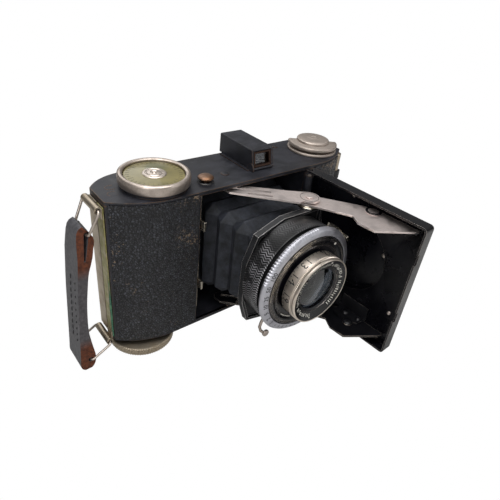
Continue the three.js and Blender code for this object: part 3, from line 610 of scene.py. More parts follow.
for node, finish, look in (
    ("body_shell", "enamel", "shellBevel"), ("back_cover", "enamel", "shellBevel"),
    ("top_plate", "enamel", "plateBevel"), ("bottom_plate", "enamel", "plateBevel"),
    ("front_leather_left", "leather", "leatherBevel"), ("front_leather_right", "leather", "leatherBevel"),
    ("back_leather", "leather", "leatherBevel"),
    ("end_strip_front", "verdigris", "stripBevel"), ("end_strip_back", "knobNickel", "stripBevel"),
):
    refinedPiece(node, finish, bodyLook[look], 3)
for node, finish in (
    ("pressure_plate", "nickel"), ("pressure_spring", "nickel"), ("back_hinge_pin", "nickel"),
    ("take_up_spool", "dullLacquer"), ("sprocket_roller", "nickel"), ("rewind_fork", "nickel"),
    ("rear_lens_cell", "dullLacquer"), ("rear_lens", "glass"), ("bellows_frame", "dullLacquer"),
    ("door_hinge_pin", "nickel"),
):
    mesh = nodes[node].data
    mesh.materials.clear()
    mesh.materials.append(finishes[finish])

tripodBush = {"centre": (20, 0, 0), "radius": 6.5, "bore": 4.2, "height": 4.2, "depth": 3.4, "threads": 4,
              "pitch": 0.72, "threadDepth": 0.35}
threadProfile = [(0.0, tripodBush["height"]), (tripodBush["radius"], tripodBush["height"]),
                 (tripodBush["radius"], 0.35), (tripodBush["radius"] - 0.35, 0.0),
                 (tripodBush["bore"] + 0.5, 0.0)]
for turn in range(tripodBush["threads"]):
    foot = 0.4 + turn * tripodBush["pitch"]
    threadProfile += [(tripodBush["bore"], foot),
                      (tripodBush["bore"] + tripodBush["threadDepth"], foot + tripodBush["pitch"] / 2)]
threadProfile += [(tripodBush["bore"], tripodBush["depth"]), (0.0, tripodBush["depth"])]
turnedPiece("tripod_bush_finished", threadProfile, tripodBush["centre"], "Z", "nickel", "camera_body",
            ["tripod_bush"], 64)

# two stamped hooks near the strap end, a fixing screw by the finder, and small screws near the ends
stampedHooks = {"centres": [(-55.2, -1.2), (-54.0, 3.6)], "halfX": 2.1, "halfY": 1.68, "bead": 0.15,
                "sunk": 0.07}
work = bmesh.new()
for x, y in stampedHooks["centres"]:
    path = [(x + stampedHooks["halfX"] * cos(radians(a)), y + stampedHooks["halfY"] * sin(radians(a)),
             plateTop - stampedHooks["sunk"]) for a in range(60, 301, 15)]
    bendTube(work, path, stampedHooks["bead"], 8)
addPiece("stamped_hooks", work, "enamel", "camera_body")

topScrews = {"places": [(-10.0, -4.6, 1.7), (29.0, 9.6, 1.3), (-24.5, 9.6, 1.3)], "side": 0.192,
             "height": 0.32, "crown": 0.78}
work = bmesh.new()
for x, y, radius in topScrews["places"]:
    addTurned(work, [(0, 0), (radius, 0), (radius, topScrews["side"]),
                     (radius * topScrews["crown"], topScrews["height"]), (0, topScrews["height"])],
              (x, y, plateTop), "Z", 24)
addPiece("top_screws", work, "finderEnamel", "camera_body")
print("body done")

counter = {"centre": (-39.2, -1, 0), "radius": 13.2, "low": 65.2, "high": 69.3, "window": 11.3}
turnedPiece("counter_rim_finished", [
    (2.4, counter["low"]), (counter["radius"] - 0.7, counter["low"]),
    (counter["radius"] - 0.2, counter["low"] + 0.25),
    (counter["radius"], counter["low"] + 0.8), (counter["radius"], counter["high"] - 0.9),
    (counter["radius"] - 0.15, counter["high"] - 0.4), (counter["radius"] - 0.55, counter["high"] - 0.08),
    (counter["radius"] - 1.1, counter["high"]), (counter["window"] + 0.35, counter["high"] - 0.12),
    (counter["window"], counter["high"] - 0.4), (counter["window"], counter["low"] + 1.2),
    (2.4, counter["low"] + 1.2),
], counter["centre"], "Z", "rimNickel", "camera_body", ["counter_rim"], 160, 40)
turnedPiece("counter_disc_finished", [
    (0, 61.2), (2, 61.2), (2, 66.8), (11, 66.8), (11, 68.2), (10.6, 68.36), (0, 68.4),
], counter["centre"], "Z", "celluloid", "counter", ["counter_disc"], 128)
turnedPiece("counter_screw_finished", [
    (0, 68.2), (4.4, 68.2), (4.4, 68.55), (4.1, 68.75), (3.5, 68.8), (3.25, 68.6), (2.9, 68.6), (2.6, 68.85),
    (1.5, 68.95), (1.2, 68.7), (0.9, 68.7), (0.6, 69.05), (0, 69.1),
], counter["centre"], "Z", "nickel", "counter", ["counter_screw"], 96, 25)
# frame marks printed round the disc, every sixth one longer
frameMarks = {"count": 36, "short": 8.9, "long": 8.2, "outer": 10.2, "height": 68.37, "wire": 0.05}
work = bmesh.new()
for tick in range(frameMarks["count"]):
    turn = 2 * pi * tick / frameMarks["count"]
    inner = frameMarks["short"] if tick % 6 else frameMarks["long"]
    path = [(counter["centre"][0] + r * cos(turn), counter["centre"][1] + r * sin(turn), frameMarks["height"])
            for r in (inner, frameMarks["outer"])]
    bendTube(work, path, frameMarks["wire"], 6)
addPiece("counter_marks", work, "blackFill", "counter")

buttonAt = (-21, -7.2, 0)
turnedPiece("release_button_finished", [
    (0, 62.1), (1.3, 62.1), (1.3, 65.4), (2.9, 65.4), (3.1, 65.6), (3.1, 65.9), (2.9, 66.15), (2.4, 66.5),
    (1.6, 66.75), (0, 66.9),
], buttonAt, "Z", "buttonBrass", "door_release", ["door_release_button"], 64, 50)
turnedPiece("release_button_seat", [(2.0, 64.0), (3.3, 64.0), (3.3, 64.15), (3.0, 64.45), (2.0, 64.45)],
            buttonAt, "Z", "dullLacquer", "camera_body", steps=48)

windingKnob = {"centre": (-47, -2, 0), "radius": 13.6, "low": -6.3, "high": -2.1, "grooves": 84,
               "depth": 0.28}
work = bmesh.new()
knobProfile = [(0, windingKnob["low"]), (12.0, windingKnob["low"]), (12.6, windingKnob["low"] + 0.15),
               (13.3, windingKnob["low"] + 0.95), (windingKnob["radius"], windingKnob["low"] + 1.1),
               (windingKnob["radius"], windingKnob["high"] - 0.5), (13.2, windingKnob["high"] - 0.1),
               (12.6, windingKnob["high"]), (2.6, windingKnob["high"]), (2.6, 2), (0, 2)]
addTurned(work, knobProfile, windingKnob["centre"], "Z", windingKnob["grooves"] * 4)
cutGrooves(work, windingKnob["centre"], 1, windingKnob["grooves"], windingKnob["depth"],
           lambda radius, turn, y: radius > windingKnob["radius"] - 0.1)
addPiece("advance_knob_finished", work, "knobNickel", "advance", ["advance_knob"])

rewind = {"centre": (43.75, 0.4, 0), "flat": 0.8, "flatTurn": 53.0}
turnedPiece("rewind_base_finished", [
    (2.8, 64.1), (11.2, 64.1), (11.4, 64.3), (11.4, 64.9), (11.1, 65.3), (10.6, 65.4), (2.8, 65.4),
], rewind["centre"], "Z", "capNickel", "camera_body", ["rewind_base"], 128)
work = bmesh.new()
addTurned(work, [
    (0, 66), (10.2, 66), (10.9, 66.2), (11.4, 66.75), (11.4, 67.5), (11.15, 67.9), (10.6, 68.1), (0, 68.1),
], rewind["centre"], "Z", 144)
across = Vector((cos(radians(rewind["flatTurn"])), sin(radians(rewind["flatTurn"])), 0))
cut = bmesh.ops.bisect_plane(work, geom=work.verts[:] + work.edges[:] + work.faces[:], plane_no=across,
                             plane_co=Vector(rewind["centre"]) + across * rewind["flat"], clear_outer=True,
                             dist=0.0001)
openEdges = [item for item in cut["geom_cut"] if isinstance(item, bmesh.types.BMEdge)]
bmesh.ops.holes_fill(work, edges=openEdges, sides=0)
addTurned(work, [(0, 62.8), (2.4, 62.8), (2.4, 66.1), (0, 66.1)], rewind["centre"], "Z", 32)
addPiece("rewind_knob_finished", work, "capNickel", "rewind", ["rewind_knob"])
turnedPiece("rewind_cap_finished", [
    (0, 68.2), (7.5, 68.2), (7.5, 68.75), (7.3, 69.05), (6.8, 69.25), (5.0, 69.5), (3.0, 69.62), (2.4, 69.62),
    (2.0, 69.8), (1.4, 69.8), (1.0, 69.6), (0, 69.58),
], rewind["centre"], "Z", "capNickel", "rewind", ["rewind_cap"], 96, 45)
refinedPiece("latch_bar", "brightNickel", 0.15)

# the back's hinge shows as a nickel barrel at the right corner, over a black block
backHinge = {"barrel": (54.4, -7.0), "radius": 1.8, "low": 54.6, "high": 62.9, "reach": 2.8}
turnedPiece("back_hinge_barrel", [
    (0, backHinge["low"]), (backHinge["radius"], backHinge["low"]),
    (backHinge["radius"], backHinge["high"] - 0.4),
    (backHinge["radius"] - 0.4, backHinge["high"]), (0, backHinge["high"]),
], (*backHinge["barrel"], 0), "Z", "knobNickel", "camera_body", steps=48)
work = bmesh.new()
x, y = backHinge["barrel"]
addSlab(work, rounded([(x - 2.6, y + 2.4), (x - 2.6, y - 1.9), (x + 0.6, y - backHinge["reach"] + 0.4),
                       (x + backHinge["reach"], y - 1.6), (x + backHinge["reach"] - 0.4, y + 2.4)], 0.6),
        50.4, backHinge["low"] - 0.1)
addPiece("back_hinge_block", work, "dullLacquer", "camera_body")
print("controls done")

finder = {"left": 1.2, "right": 12.4, "front": -8.3, "low": 64.2, "high": 72.6, "flangeOut": 1.5,
          "flangeBack": 13.4, "flange": 0.35, "bead": 0.08, "maskWire": 0.22, "maskInset": 2.2}
refinedPiece("finder_housing", "finderEnamel", 0.45, 3)
refinedPiece("finder_front_frame", "copperFrame", 0.18)
refinedPiece("finder_front_lens", "glass", 0.0)
refinedPiece("finder_eyepiece", "finderEnamel", 0.2)
work = bmesh.new()
flangeLeft = finder["left"] - finder["flangeOut"]
flangeRight = finder["right"] + finder["flangeOut"]
flangeFront = finder["front"] + 1.4
flange = rounded([(flangeLeft, flangeFront), (flangeRight, flangeFront), (flangeRight, finder["flangeBack"]),
                  (flangeLeft, finder["flangeBack"])], 1.0)
addSlab(work, flange, plateTop, plateTop + finder["flange"])
addPiece("finder_flange", work, "finderEnamel", "camera_body")
work = bmesh.new()
# pressed beads along both sides of the roof
for x in (finder["left"] + 2.1, finder["right"] - 2.1):
    path = [(x, y, finder["high"] - finder["bead"]) for y in (-5.6, 0, 5, 10, 14.9)]
    bendTube(work, path, finder["bead"], 8)
addPiece("finder_roof_beads", work, "finderEnamel", "camera_body")
work = bmesh.new()
# the round ear at the housing's foot
addSlab(work, [(-7.0 + 2.1 * cos(radians(a)), 64.4 + 2.9 * sin(radians(a))) for a in range(0, 181, 12)],
        finder["left"] - 0.5, finder["left"] + 0.05, "YZ")
addPiece("finder_ear", work, "finderEnamel", "camera_body")
work = bmesh.new()
# inner frame lines seen through the finder's front glass
maskLow = finder["low"] + finder["maskInset"]
maskHigh = finder["high"] - finder["maskInset"]
maskLeft = finder["left"] + finder["maskInset"]
maskRight = finder["right"] - finder["maskInset"]
inside = [(maskLeft, maskLow), (maskRight, maskLow), (maskRight, maskHigh), (maskLeft, maskHigh)]
bendTube(work, [(x, -3.6, z) for x, z in inside + inside[:1]], finder["maskWire"], 8)
addPiece("finder_mask", work, "copperFrame", "camera_body")
print("finder done")

strapLook = {"wireRadius": 0.5, "cornerRadius": 1.5}
for name, x, z in (("upper", -62.8, 61.4), ("lower", -62.8, 0.8)):
    refinedPiece(name + "_strap_tube", "knobNickel", 0.0, name=name + "_strap_tube_leaf")
    turnedPiece(name + "_strap_tube_barrel", [
        (0.85, -5.8), (1.3, -5.8), (1.43, -5.65), (1.43, 5.65), (1.3, 5.8), (0.85, 5.8),
    ], (x, 0, z), "Y", "knobNickel", "camera_body", steps=40)


def wireLoop(name, fromX, fromZ, toX, toZ, barHalf, body):
    corners = [(fromX, -6.9, fromZ), (toX, -barHalf, toZ), (toX, barHalf, toZ), (fromX, 6.9, fromZ)]
    path = rounded(corners, strapLook["cornerRadius"], 6)
    work = bmesh.new()
    bendTube(work, path + path[:1], strapLook["wireRadius"], 14)
    addPiece(name + "_finished", work, "nickel", body, [name])


wireLoop("upper_strap_wire", -62.8, 61.4, -67.0, 52.5, 5.9, "upper_wire")
wireLoop("lower_strap_wire", -62.8, 0.8, -71.3, -4.2, 6.9, "lower_wire")
refinedPiece("strap", "strap", 0.5, 3, 50)

# stitching: long stitches in one column, the other thread's short returns beside it
stitching = {"pitch": 3.0, "thread": 0.3, "columns": [(0.6, 2.0), (-3.6, 0.7)], "from": 6.0, "to": 36.5,
             "sunk": 0.2}


def strapFace(z):
    # x of the strap's outer face at a height, between the shape's own points
    points = [(-1.0, -75.2), (13.0, -74.3), (29.0, -73.1), (44.0, -71.7), (53.6, -70.5)]
    for (lowZ, lowX), (highZ, highX) in zip(points, points[1:]):
        if z <= highZ:
            return lowX + (highX - lowX) * (z - lowZ) / (highZ - lowZ)
    return points[-1][1]


work = bmesh.new()
for y, length in stitching["columns"]:
    count = int((stitching["to"] - stitching["from"]) / stitching["pitch"])
    for index in range(count):
        z = stitching["from"] + index * stitching["pitch"]
        path = []
        for share in (0.0, 0.25, 0.5, 0.75, 1.0):
            height = z + length * share
            path.append((strapFace(height) + stitching["sunk"] * (1 - sin(pi * share)), y, height))
        bendTube(work, path, stitching["thread"], 8)
addPiece("strap_stitches", work, "thread", "hand_strap")
print("strap done")

doorHinge = next(joint for joint in frame["joints"] if joint["name"] == "door_hinge")
hingeAt = Vector(doorHinge["pos_m"]) * 1000
doorOpen = radians(doorHinge.get("range_deg", [0, 93.25])[1])
doorLook = {"innerFace": -2.9, "platePad": -3.9}


def onDoor(along, depth):
    # a place on the open door: along from the hinge line, and depth inwards from it on the closed door
    return (hingeAt.x - cos(doorOpen) * along - sin(doorOpen) * depth,
            hingeAt.y - sin(doorOpen) * along + cos(doorOpen) * depth)


refinedPiece("door_panel", "lacquer", 0.3, 2)
refinedPiece("door_leather", "leather", 0.2, 2)
refinedPiece("door_bracket_upper", "dullLacquer", 0.18)
refinedPiece("door_bracket_lower", "dullLacquer", 0.18)
# each rivet's distance from the hinge, its height, its radius and its finish
doorRivets = [(40.4, 39.8, 1.0, "nickel"), (52.1, 18.9, 0.9, "nickel"), (51.2, 58.3, 1.35, "lacquer"),
              (34.4, 8.0, 1.1, "nickel"), (41.0, 7.2, 1.0, "nickel"), (22.0, 60.2, 0.6, "nickel")]
for finish in ("nickel", "lacquer"):
    work = bmesh.new()
    for along, z, radius, look in doorRivets:
        if look != finish:
            continue
        onPad = 35 < z < 45 and along < 43
        base = onDoor(along, doorLook["innerFace"] + (doorLook["platePad"] if onPad else 0.0))
        domed = bmesh.new()
        dome = [(0, 0), (radius, 0), (radius, 0.18), (radius * 0.8, 0.45), (radius * 0.4, 0.6), (0, 0.63)]
        addTurned(domed, dome, (0, 0, 0), "Z", 24)
        inwards = Vector((-sin(doorOpen), cos(doorOpen), 0))
        lying = inwards.to_track_quat("Z", "Y").to_matrix().to_4x4()
        seated = Matrix.Translation((base[0], base[1], z)) @ lying
        bmesh.ops.transform(domed, matrix=seated, verts=domed.verts)
        mergedInto(work, domed)
    addPiece("door_rivets_" + finish, work, finish, "door")
print("door done")

for node, finish in (("rear_strut_upper", "rearStrutNickel"), ("rear_strut_lower", "wornLacquer"),
                     ("front_strut_upper", "frontStrutNickel"), ("front_strut_lower", "wornLacquer")):
    refinedPiece(node, finish, 0.14, 2)
for node in ("knee_rivet_upper", "knee_rivet_lower"):
    refinedPiece(node, "frontStrutNickel", 0.1)
kneeAt = (11.5, -31.6, 0)
turnedPiece("knee_eye_line", [(3.55, 61.08), (3.75, 61.08), (3.7, 61.16), (3.6, 61.16)],
            kneeAt, "Z", "copperFrame", "rear_struts", steps=64)
turnedPiece("door_pivot_head", [
    (0, 59.85), (3.1, 59.85), (3.2, 59.95), (3.05, 60.12), (2.2, 60.2), (0, 60.2),
], (27.7, -50.9, 0), "Z", "frontStrutNickel", "door", steps=64)
# large domed heads on the lower bracket
lowerHeads = {"low": 7.86, "side": 0.3, "dome": 1.05,
              "places": [(24.2, -55.8, 2.3), (28.4, -51.0, 1.9), (29.4, -57.4, 1.3)]}
work = bmesh.new()
for x, y, radius in lowerHeads["places"]:
    dome = [(radius * cos(radians(a)), lowerHeads["side"] + lowerHeads["dome"] * sin(radians(a)))
            for a in (0, 20, 40, 60, 80)]
    dome = [(0, 0)] + dome + [(0, lowerHeads["side"] + lowerHeads["dome"])]
    addTurned(work, dome, (x, y, lowerHeads["low"]), "Z", 40)
addPiece("lower_bracket_heads", work, "wornLacquer", "door")
turnedPiece("knee_washers", [
    (1.3, 58.02), (4.5, 58.02), (4.65, 58.2), (4.5, 58.36), (4.1, 58.4), (4.2, 58.6), (4.1, 58.85),
    (1.3, 58.85),
], kneeAt, "Z", "brightNickel", "standard", steps=64)
print("struts done")

refinedPiece("lens_standard", "standardEnamel", 0.22, 2)
lensAxis = (0, standardFace, lensHeight)
turnedPiece("shutter_housing_finished", [
    (10.5, -0.2), (17, -0.2), (17, -1.7), (21.3, -1.7), (21.75, -1.85), (21.9, -2.2), (21.9, -9.9),
    (21.7, -10.2), (20.6, -10.2), (20.6, -12.0), (21.5, -12.0), (21.5, -12.2), (10.5, -12.2),
], lensAxis, "Y", "drum", "standard", ["shutter_housing"], 192)

# degrees round the lens that the coining runs from and to, and the depth that it stays in front of
speedRing = {"grooves": 120, "from": 88, "to": 164, "depth": 0.24, "rim": 21.75, "front": 12.5}
work = bmesh.new()
addTurned(work, [
    (19.8, -12.4), (22.2, -12.4), (22.7, -12.6), (22.8, -12.9), (22.8, -13.6), (22.65, -13.85),
    (21.9, -14.55), (21.6, -14.65), (20.0, -14.9), (19.8, -14.8),
], lensAxis, "Y", speedRing["grooves"] * 4)
cutGrooves(work, lensAxis, 2, speedRing["grooves"], speedRing["depth"],
           lambda radius, turn, y: (radius > speedRing["rim"] and y < standardFace - speedRing["front"]
                                    and speedRing["from"] < turn < speedRing["to"]))
addPiece("speed_ring_finished", work, "ringNickel", "speed_setting", ["speed_ring"])

turnedPiece("shutter_face_finished", [
    (12.2, -12.4), (19.5, -12.4), (19.5, -14.7), (19.3, -14.9), (18.9, -14.95), (18.7, -14.75),
    (18.45, -14.75), (18.25, -15.0), (17.6, -15.0), (17.3, -14.9), (16.6, -14.35), (16.2, -14.3),
    (16.0, -14.15), (15.7, -14.15), (15.5, -14.3), (12.2, -14.3),
], lensAxis, "Y", "lacquer", "standard", ["shutter_face"], 160, 25)
refinedPiece("cocking_lever", "brightNickel", 0.12)
refinedPiece("aperture_lever", "brightNickel", 0.1)
# the release lever curls forward into a round thumb piece
releaseLever = {"wire": 0.62, "tip": 1.5, "path": [
    (21, 225, -9.3), (23.5, 226.5, -9.3), (25.8, 229, -9.4), (26.9, 232, -10.0), (26.9, 234.5, -11.2),
]}
work = bmesh.new()
path = [tuple(aroundLens(radius, turn, standardFace + y)) for radius, turn, y in releaseLever["path"]]
bendTube(work, path, releaseLever["wire"], 12)
tip = aroundLens(26.6, 235, standardFace)
addTurned(work, [
    (0, -12.3), (0.9, -12.25), (1.4, -12.0), (releaseLever["tip"], -11.6), (1.4, -11.1), (0, -10.9),
], tip, "Y", 32)
addPiece("release_lever_finished", work, "capNickel", "trigger", ["release_lever"])

focusRing = {"outer": 14.0, "grooves": 120, "depth": 0.22, "knurlFrom": 19.7}
work = bmesh.new()
addTurned(work, [
    (12.2, -15.3), (13.8, -15.3), (14.0, -15.5), (14.0, -19.5), (13.85, -19.6), (13.85, -19.75),
    (14.0, -19.85), (14.0, -20.45), (13.85, -20.6), (12.2, -20.6),
], lensAxis, "Y", focusRing["grooves"] * 4)
cutGrooves(work, lensAxis, 2, focusRing["grooves"], focusRing["depth"],
           lambda radius, turn, y: (radius > focusRing["outer"] - 0.05
                                    and y < standardFace - focusRing["knurlFrom"]))
addPiece("focus_ring_finished", work, "barrelNickel", "focus", ["focus_ring"])

turnedPiece("front_lens_cell_finished", [
    (8.2, -13), (11.9, -13), (11.9, -20.8), (13.5, -20.8), (13.5, -21.75), (13.3, -21.8), (13.1, -21.7),
    (9.9, -20.6), (9.75, -20.3), (9.75, -19.6), (9.6, -19.4), (9.6, -18), (8.2, -18),
], lensAxis, "Y", "lacquer", "focus", ["front_lens_cell"], 160, 25)
turnedPiece("front_lens_rim", [
    (13.5, -20.8), (13.75, -20.8), (13.9, -21.0), (13.9, -21.7), (13.7, -21.9), (13.4, -21.9), (13.3, -21.78),
], lensAxis, "Y", "barrelNickel", "focus", steps=160)
# the front surface is a parabola; twiceCurve is twice its radius of curvature
frontLens = {"pole": -20.9, "twiceCurve": 42}
curved = [(r, frontLens["pole"] + r * r / frontLens["twiceCurve"])
          for r in (0, 1.2, 2.4, 3.6, 4.8, 6.0, 7.0, 8.0, 8.8, 9.4)]
turnedPiece("front_lens_finished", curved + [
    (9.5, -18.7), (9.5, -18.2), (7.5, -18.5), (5.0, -18.8), (2.5, -18.95), (0, -19.0),
], lensAxis, "Y", "glass", "focus", ["front_lens"], 96, 50)
# blades and the cell wall behind the glass
turnedPiece("lens_tunnel", [
    (8.1, -17.9), (8.1, -13.0), (5.2, -12.0), (5.2, -11.6), (8.6, -12.6), (8.6, -17.9),
], lensAxis, "Y", "dullLacquer", "standard", steps=64)
# overlapping leaves close the shutter, each a little in front of the last
leaves = {"count": 5, "reach": 6.8, "overlap": 0.6, "thickness": 0.05, "step": 0.07, "depth": 12.0}
work = bmesh.new()
for blade in range(leaves["count"]):
    middle = 2 * pi * blade / leaves["count"]
    spokes = [(leaves["reach"], middle + radians(a)) for a in range(-44, 45, 11)]
    spokes.append((-leaves["overlap"], middle))
    outline = [(radius * cos(angle), lensHeight + radius * sin(angle)) for radius, angle in spokes]
    y = standardFace - leaves["depth"] - leaves["step"] * blade
    addSlab(work, outline, y, y + leaves["thickness"], "XZ")
addPiece("shutter_leaves", work, "bladeSteel", "standard")
turnedPiece("lens_retaining_ring", [(8.9, -20.0), (9.7, -20.4), (9.75, -20.1), (9.5, -19.5), (9.2, -19.2)],
            lensAxis, "Y", "dullLacquer", "focus", steps=96)


def barrelLine(work, turn, nearest, farthest, thick):
    # a line along the barrel between two depths in front of the standard; turn is in degrees
    spot = aroundLens(focusRing["outer"], turn, 0)
    bendTube(work, [(spot.x, standardFace - depth, spot.z) for depth in (nearest, farthest)], thick, 6)


# engraved marks: distance numbers on the barrel, speeds on the ring, ticks on the black bevels
barrelMarks = {"numberDepth": 17.4, "numberSize": 4.3, "lineBefore": 10, "height": 0.06}
work = bmesh.new()
for words, turn in (("2", 76), ("3", 122), ("4", 152), ("9", 184), ("15", 222), ("30", 262)):
    def wrapped(x, y, height, turn=turn):
        angle = radians(turn) + x / focusRing["outer"]
        radius = focusRing["outer"] + height
        return (radius * cos(angle), standardFace - barrelMarks["numberDepth"] - y,
                lensHeight + radius * sin(angle))
    mergedInto(work, addNumeral(words, barrelMarks["numberSize"], barrelMarks["height"], wrapped))
    # a bold line before each number
    barrelLine(work, turn - barrelMarks["lineBefore"], 16.2, 18.9, 0.16)
for turn in range(50, 270, 8):
    barrelLine(work, turn, 15.6, 16.3, 0.09)
addPiece("distance_numbers", work, "blackFill", "focus")

# the speeds stand on the ring's bevel, which falls back outwards
speedMarks = {"radius": 21.0, "depth": 14.78, "slope": 0.17, "size": 2.5, "height": 0.06}
work = bmesh.new()
for words, turn in (("100", 154), ("50", 168), ("25", 179), ("10", 190), ("5", 200), ("2", 210), ("1", 219)):
    def flatOn(x, y, height, turn=turn):
        radius = speedMarks["radius"] + y
        angle = radians(turn) - x / radius
        return (radius * cos(angle), standardFace - speedMarks["depth"] + speedMarks["slope"] * y - height,
                lensHeight + radius * sin(angle))
    mergedInto(work, addNumeral(words, speedMarks["size"], speedMarks["height"], flatOn))
addPiece("speed_numbers", work, "blackFill", "speed_setting")
speedTicks = [(20.3, 21.5, a, a + 0.5, (-0.05, 0.12)) for a in range(228, 300, 7)]
arcTicks("speed_ticks", speedTicks, standardFace - speedMarks["depth"], speedMarks["height"], "blackFill",
         "speed_setting")
# every fifth tick on the bevel is longer, and every thirteenth is left out
bevelTicks = []
for index in range(64):
    start = index * 5.0 - 60
    inner, outer = (10.7, 11.9) if index % 5 else (10.4, 12.3)
    if index % 13:
        bevelTicks.append((inner, outer, start, start + 1 + (index % 3) * 0.5, (0.0, -0.42)))
arcTicks("bevel_ticks", bevelTicks, standardFace - 20.85, 0.05, "whiteFill", "focus")
level = (0.0, 0.0)
faceTicks = [(17.7, 18.2, a, a + 1.4, level) for a in range(-40, 42, 4)]
faceTicks += [(16.0, 16.35, -136, -112, level), (17.3, 17.65, -134, -110, level)]
arcTicks("face_ticks", faceTicks, standardFace - 14.32, 0.05, "whiteFill", "standard")
# painted highlights: short arcs of bright nickel on the face's grooves, laid only over the part of the circle
# where the grooves catch the light
faceHighlightArcs = [(19.0, 19.2, 92, 186, level), (18.3, 18.42, 96, 176, level), (17.5, 17.65, 99, 170, level)]
arcTicks("face_highlight_arcs", faceHighlightArcs, standardFace - 15.0, 0.05, "brightNickel", "standard")
work = bmesh.new()
for radius, turn, size, y in ((17.9, 52, 0.55, -15.02), (12.3, 75, 0.4, -21.45), (12.3, 255, 0.4, -21.45)):
    spot = aroundLens(radius, turn, standardFace + y)
    addTurned(work, [(0, 0), (size, 0), (size, -0.05), (0, -0.05)], spot, "Y", 16)
addPiece("index_dots", work, "whiteFill", "standard")
print("shutter and lens done")

bellows = {"rearY": 7.4, "frontY": -32.3, "rear": (24.4, 23.2, 33.2), "front": (16.6, 17.4, 35.4), "folds": 5,
           "deep": 2.6, "corner": 2.4}
work = bmesh.new()
rings = []
steps = bellows["folds"] * 2
for step in range(steps + 1):
    share = step / steps
    halfX, halfZ, middle = (a + (b - a) * share for a, b in zip(bellows["rear"], bellows["front"]))
    inset = bellows["deep"] if step % 2 else 0.0
    # a ridge has cut corners and a valley square ones, as a folded sheet must
    corner = bellows["corner"] * (0.5 if step % 2 else 1.6)
    halfX -= inset
    halfZ -= inset
    y = bellows["rearY"] + (bellows["frontY"] - bellows["rearY"]) * share
    outline = []
    for signX, signZ, order in ((1, 1, 1), (-1, 1, -1), (-1, -1, 1), (1, -1, -1)):
        pair = [(signX * halfX, signZ * (halfZ - corner)), (signX * (halfX - corner), signZ * halfZ)]
        outline += pair if order == 1 else pair[::-1]
    rings.append([work.verts.new((x, y, middle + z)) for x, z in outline])
for first, second in zip(rings, rings[1:]):
    edges = []
    for ring in (first, second):
        edges += [work.edges.get((a, b)) or work.edges.new((a, b)) for a, b in zip(ring, ring[1:] + ring[:1])]
    bmesh.ops.bridge_loops(work, edges=edges)
bmesh.ops.recalc_face_normals(work, faces=work.faces)
folded = addPiece("bellows_folded", work, "bellows", "camera_body", ["bellows"], 22,
                  mended=False)
skin = folded.modifiers.new("skin", "SOLIDIFY")
skin.thickness = 0.5 * mm
skin.offset = -1
softened = folded.modifiers.new("softened", "BEVEL")
softened.width = 0.35 * mm
softened.segments = 3
softened.limit_method = "ANGLE"
softened.angle_limit = radians(15)
for modifier in list(folded.modifiers):
    bpy.context.view_layer.objects.active = folded
    bpy.ops.object.modifier_apply(modifier=modifier.name)
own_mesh(folded)
print("bellows done")

# a plane of paper through one point of the foot; its slopes are along x and y
stand = {"slope": (0.0673, -0.0577), "through": (54.2, -8.5), "half": 2600, "gap": 0.05}
work = bmesh.new()
bmesh.ops.create_grid(work, x_segments=1, y_segments=1, size=stand["half"] * mm)
for vert in work.verts:
    vert.co.z = (stand["slope"][0] * (vert.co.x - stand["through"][0] * mm)
                 + stand["slope"][1] * (vert.co.y - stand["through"][1] * mm) - stand["gap"] * mm)
floorMesh = bpy.data.meshes.new("studio_floor")
work.to_mesh(floorMesh)
work.free()
floor = bpy.data.objects.new("studio_floor", floorMesh)
bpy.context.scene.collection.objects.link(floor)
paper, tree, shader, coords = startMaterial("white_backdrop_paper")
feed(tree, shader, {"Base Color": linearColour("#b9b8b6"), "Roughness": 0.9})
seen = addNode(tree, "LightPath")
blown = addNode(tree, "Emission", {"Color": linearColour("#ffffff"), "Strength": 1.0})
paths = {0: seen.outputs["Is Camera Ray"], 1: shader.outputs[0], 2: blown.outputs[0]}
overexposed = addNode(tree, "MixShader", paths)
surface = next(node for node in tree.nodes if node.bl_idname == "ShaderNodeOutputMaterial")
tree.links.new(overexposed.outputs[0], surface.inputs["Surface"])
floorMesh.materials.append(paper)

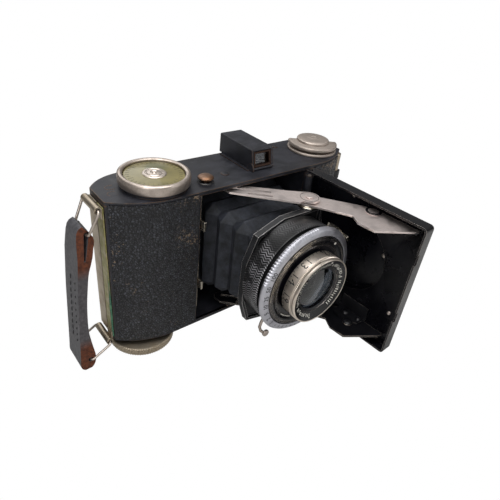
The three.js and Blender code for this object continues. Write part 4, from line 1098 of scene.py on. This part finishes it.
softboxes = {
    "overhead": {"at": (-0.1, -0.1, 0.75), "size": 0.7, "power": 5.5},
    "frontLeft": {"at": (-0.75, -0.55, 0.45), "size": 0.6, "power": 3.2},
    "frontRight": {"at": (0.55, -0.8, 0.35), "size": 0.5, "power": 1.3},
    "behind": {"at": (0.1, 0.8, 0.55), "size": 0.6, "power": 1.6},
}
lampsAimAt = (0, -0.02, 0.03)
for name, box in softboxes.items():
    lamp = bpy.data.lights.new(name, "AREA")
    lamp.size = box["size"]
    lamp.energy = box["power"]
    holder = bpy.data.objects.new(name, lamp)
    bpy.context.scene.collection.objects.link(holder)
    holder.location = box["at"]
    towards = Vector(lampsAimAt) - Vector(box["at"])
    holder.rotation_euler = towards.to_track_quat("-Z", "Y").to_euler()

roomLight = {"horizon": 0.02, "overhead": 0.5}
world = bpy.data.worlds.new("studio")
world.use_nodes = True
# the backdrop is blown out to the camera; everything else sees a room that darkens towards the horizon
sky = world.node_tree
direction = addNode(sky, "TexCoord")
heights = addNode(sky, "SeparateXYZ", {0: direction.outputs["Generated"]})
room = remap(sky, heights.outputs["Z"], 0.0, 1.0, roomLight["horizon"], roomLight["overhead"])
seen = addNode(sky, "LightPath")
strength = addNode(sky, "Mix", {"data_type": "FLOAT", 0: seen.outputs["Is Camera Ray"], 2: room, 3: 1.0})
feed(sky, sky.nodes["Background"], {0: linearColour("#ffffff"), 1: strength.outputs[0]})
bpy.context.scene.world = world

cameraSet = {"at": (-0.11151, -0.13583, 0.13859), "heading": 42.43, "down": 33.43, "roll": 7.12,
             "lens": 32.475}
# an upright camera at this heading and dip, then rolled about its own line of sight
heading = radians(cameraSet["heading"])
down = radians(cameraSet["down"])
roll = radians(cameraSet["roll"])
forward = Vector((sin(heading) * cos(down), cos(heading) * cos(down), -sin(down)))
level = Vector((cos(heading), -sin(heading), 0.0))
upright = level.cross(forward)
rightwards = level * cos(roll) + upright * sin(roll)
upwards = upright * cos(roll) - level * sin(roll)
cameraData = bpy.data.cameras.new("camera")
cameraData.lens = cameraSet["lens"]
cameraData.sensor_width = 36.0
cameraData.clip_start = 0.005
camera = bpy.data.objects.new("camera", cameraData)
bpy.context.scene.collection.objects.link(camera)
facing = Matrix((rightwards, upwards, -forward)).transposed().to_4x4()
camera.matrix_world = Matrix.Translation(cameraSet["at"]) @ facing
bpy.context.scene.camera = camera
bpy.context.scene.view_settings.view_transform = "Standard"
print("stage set")
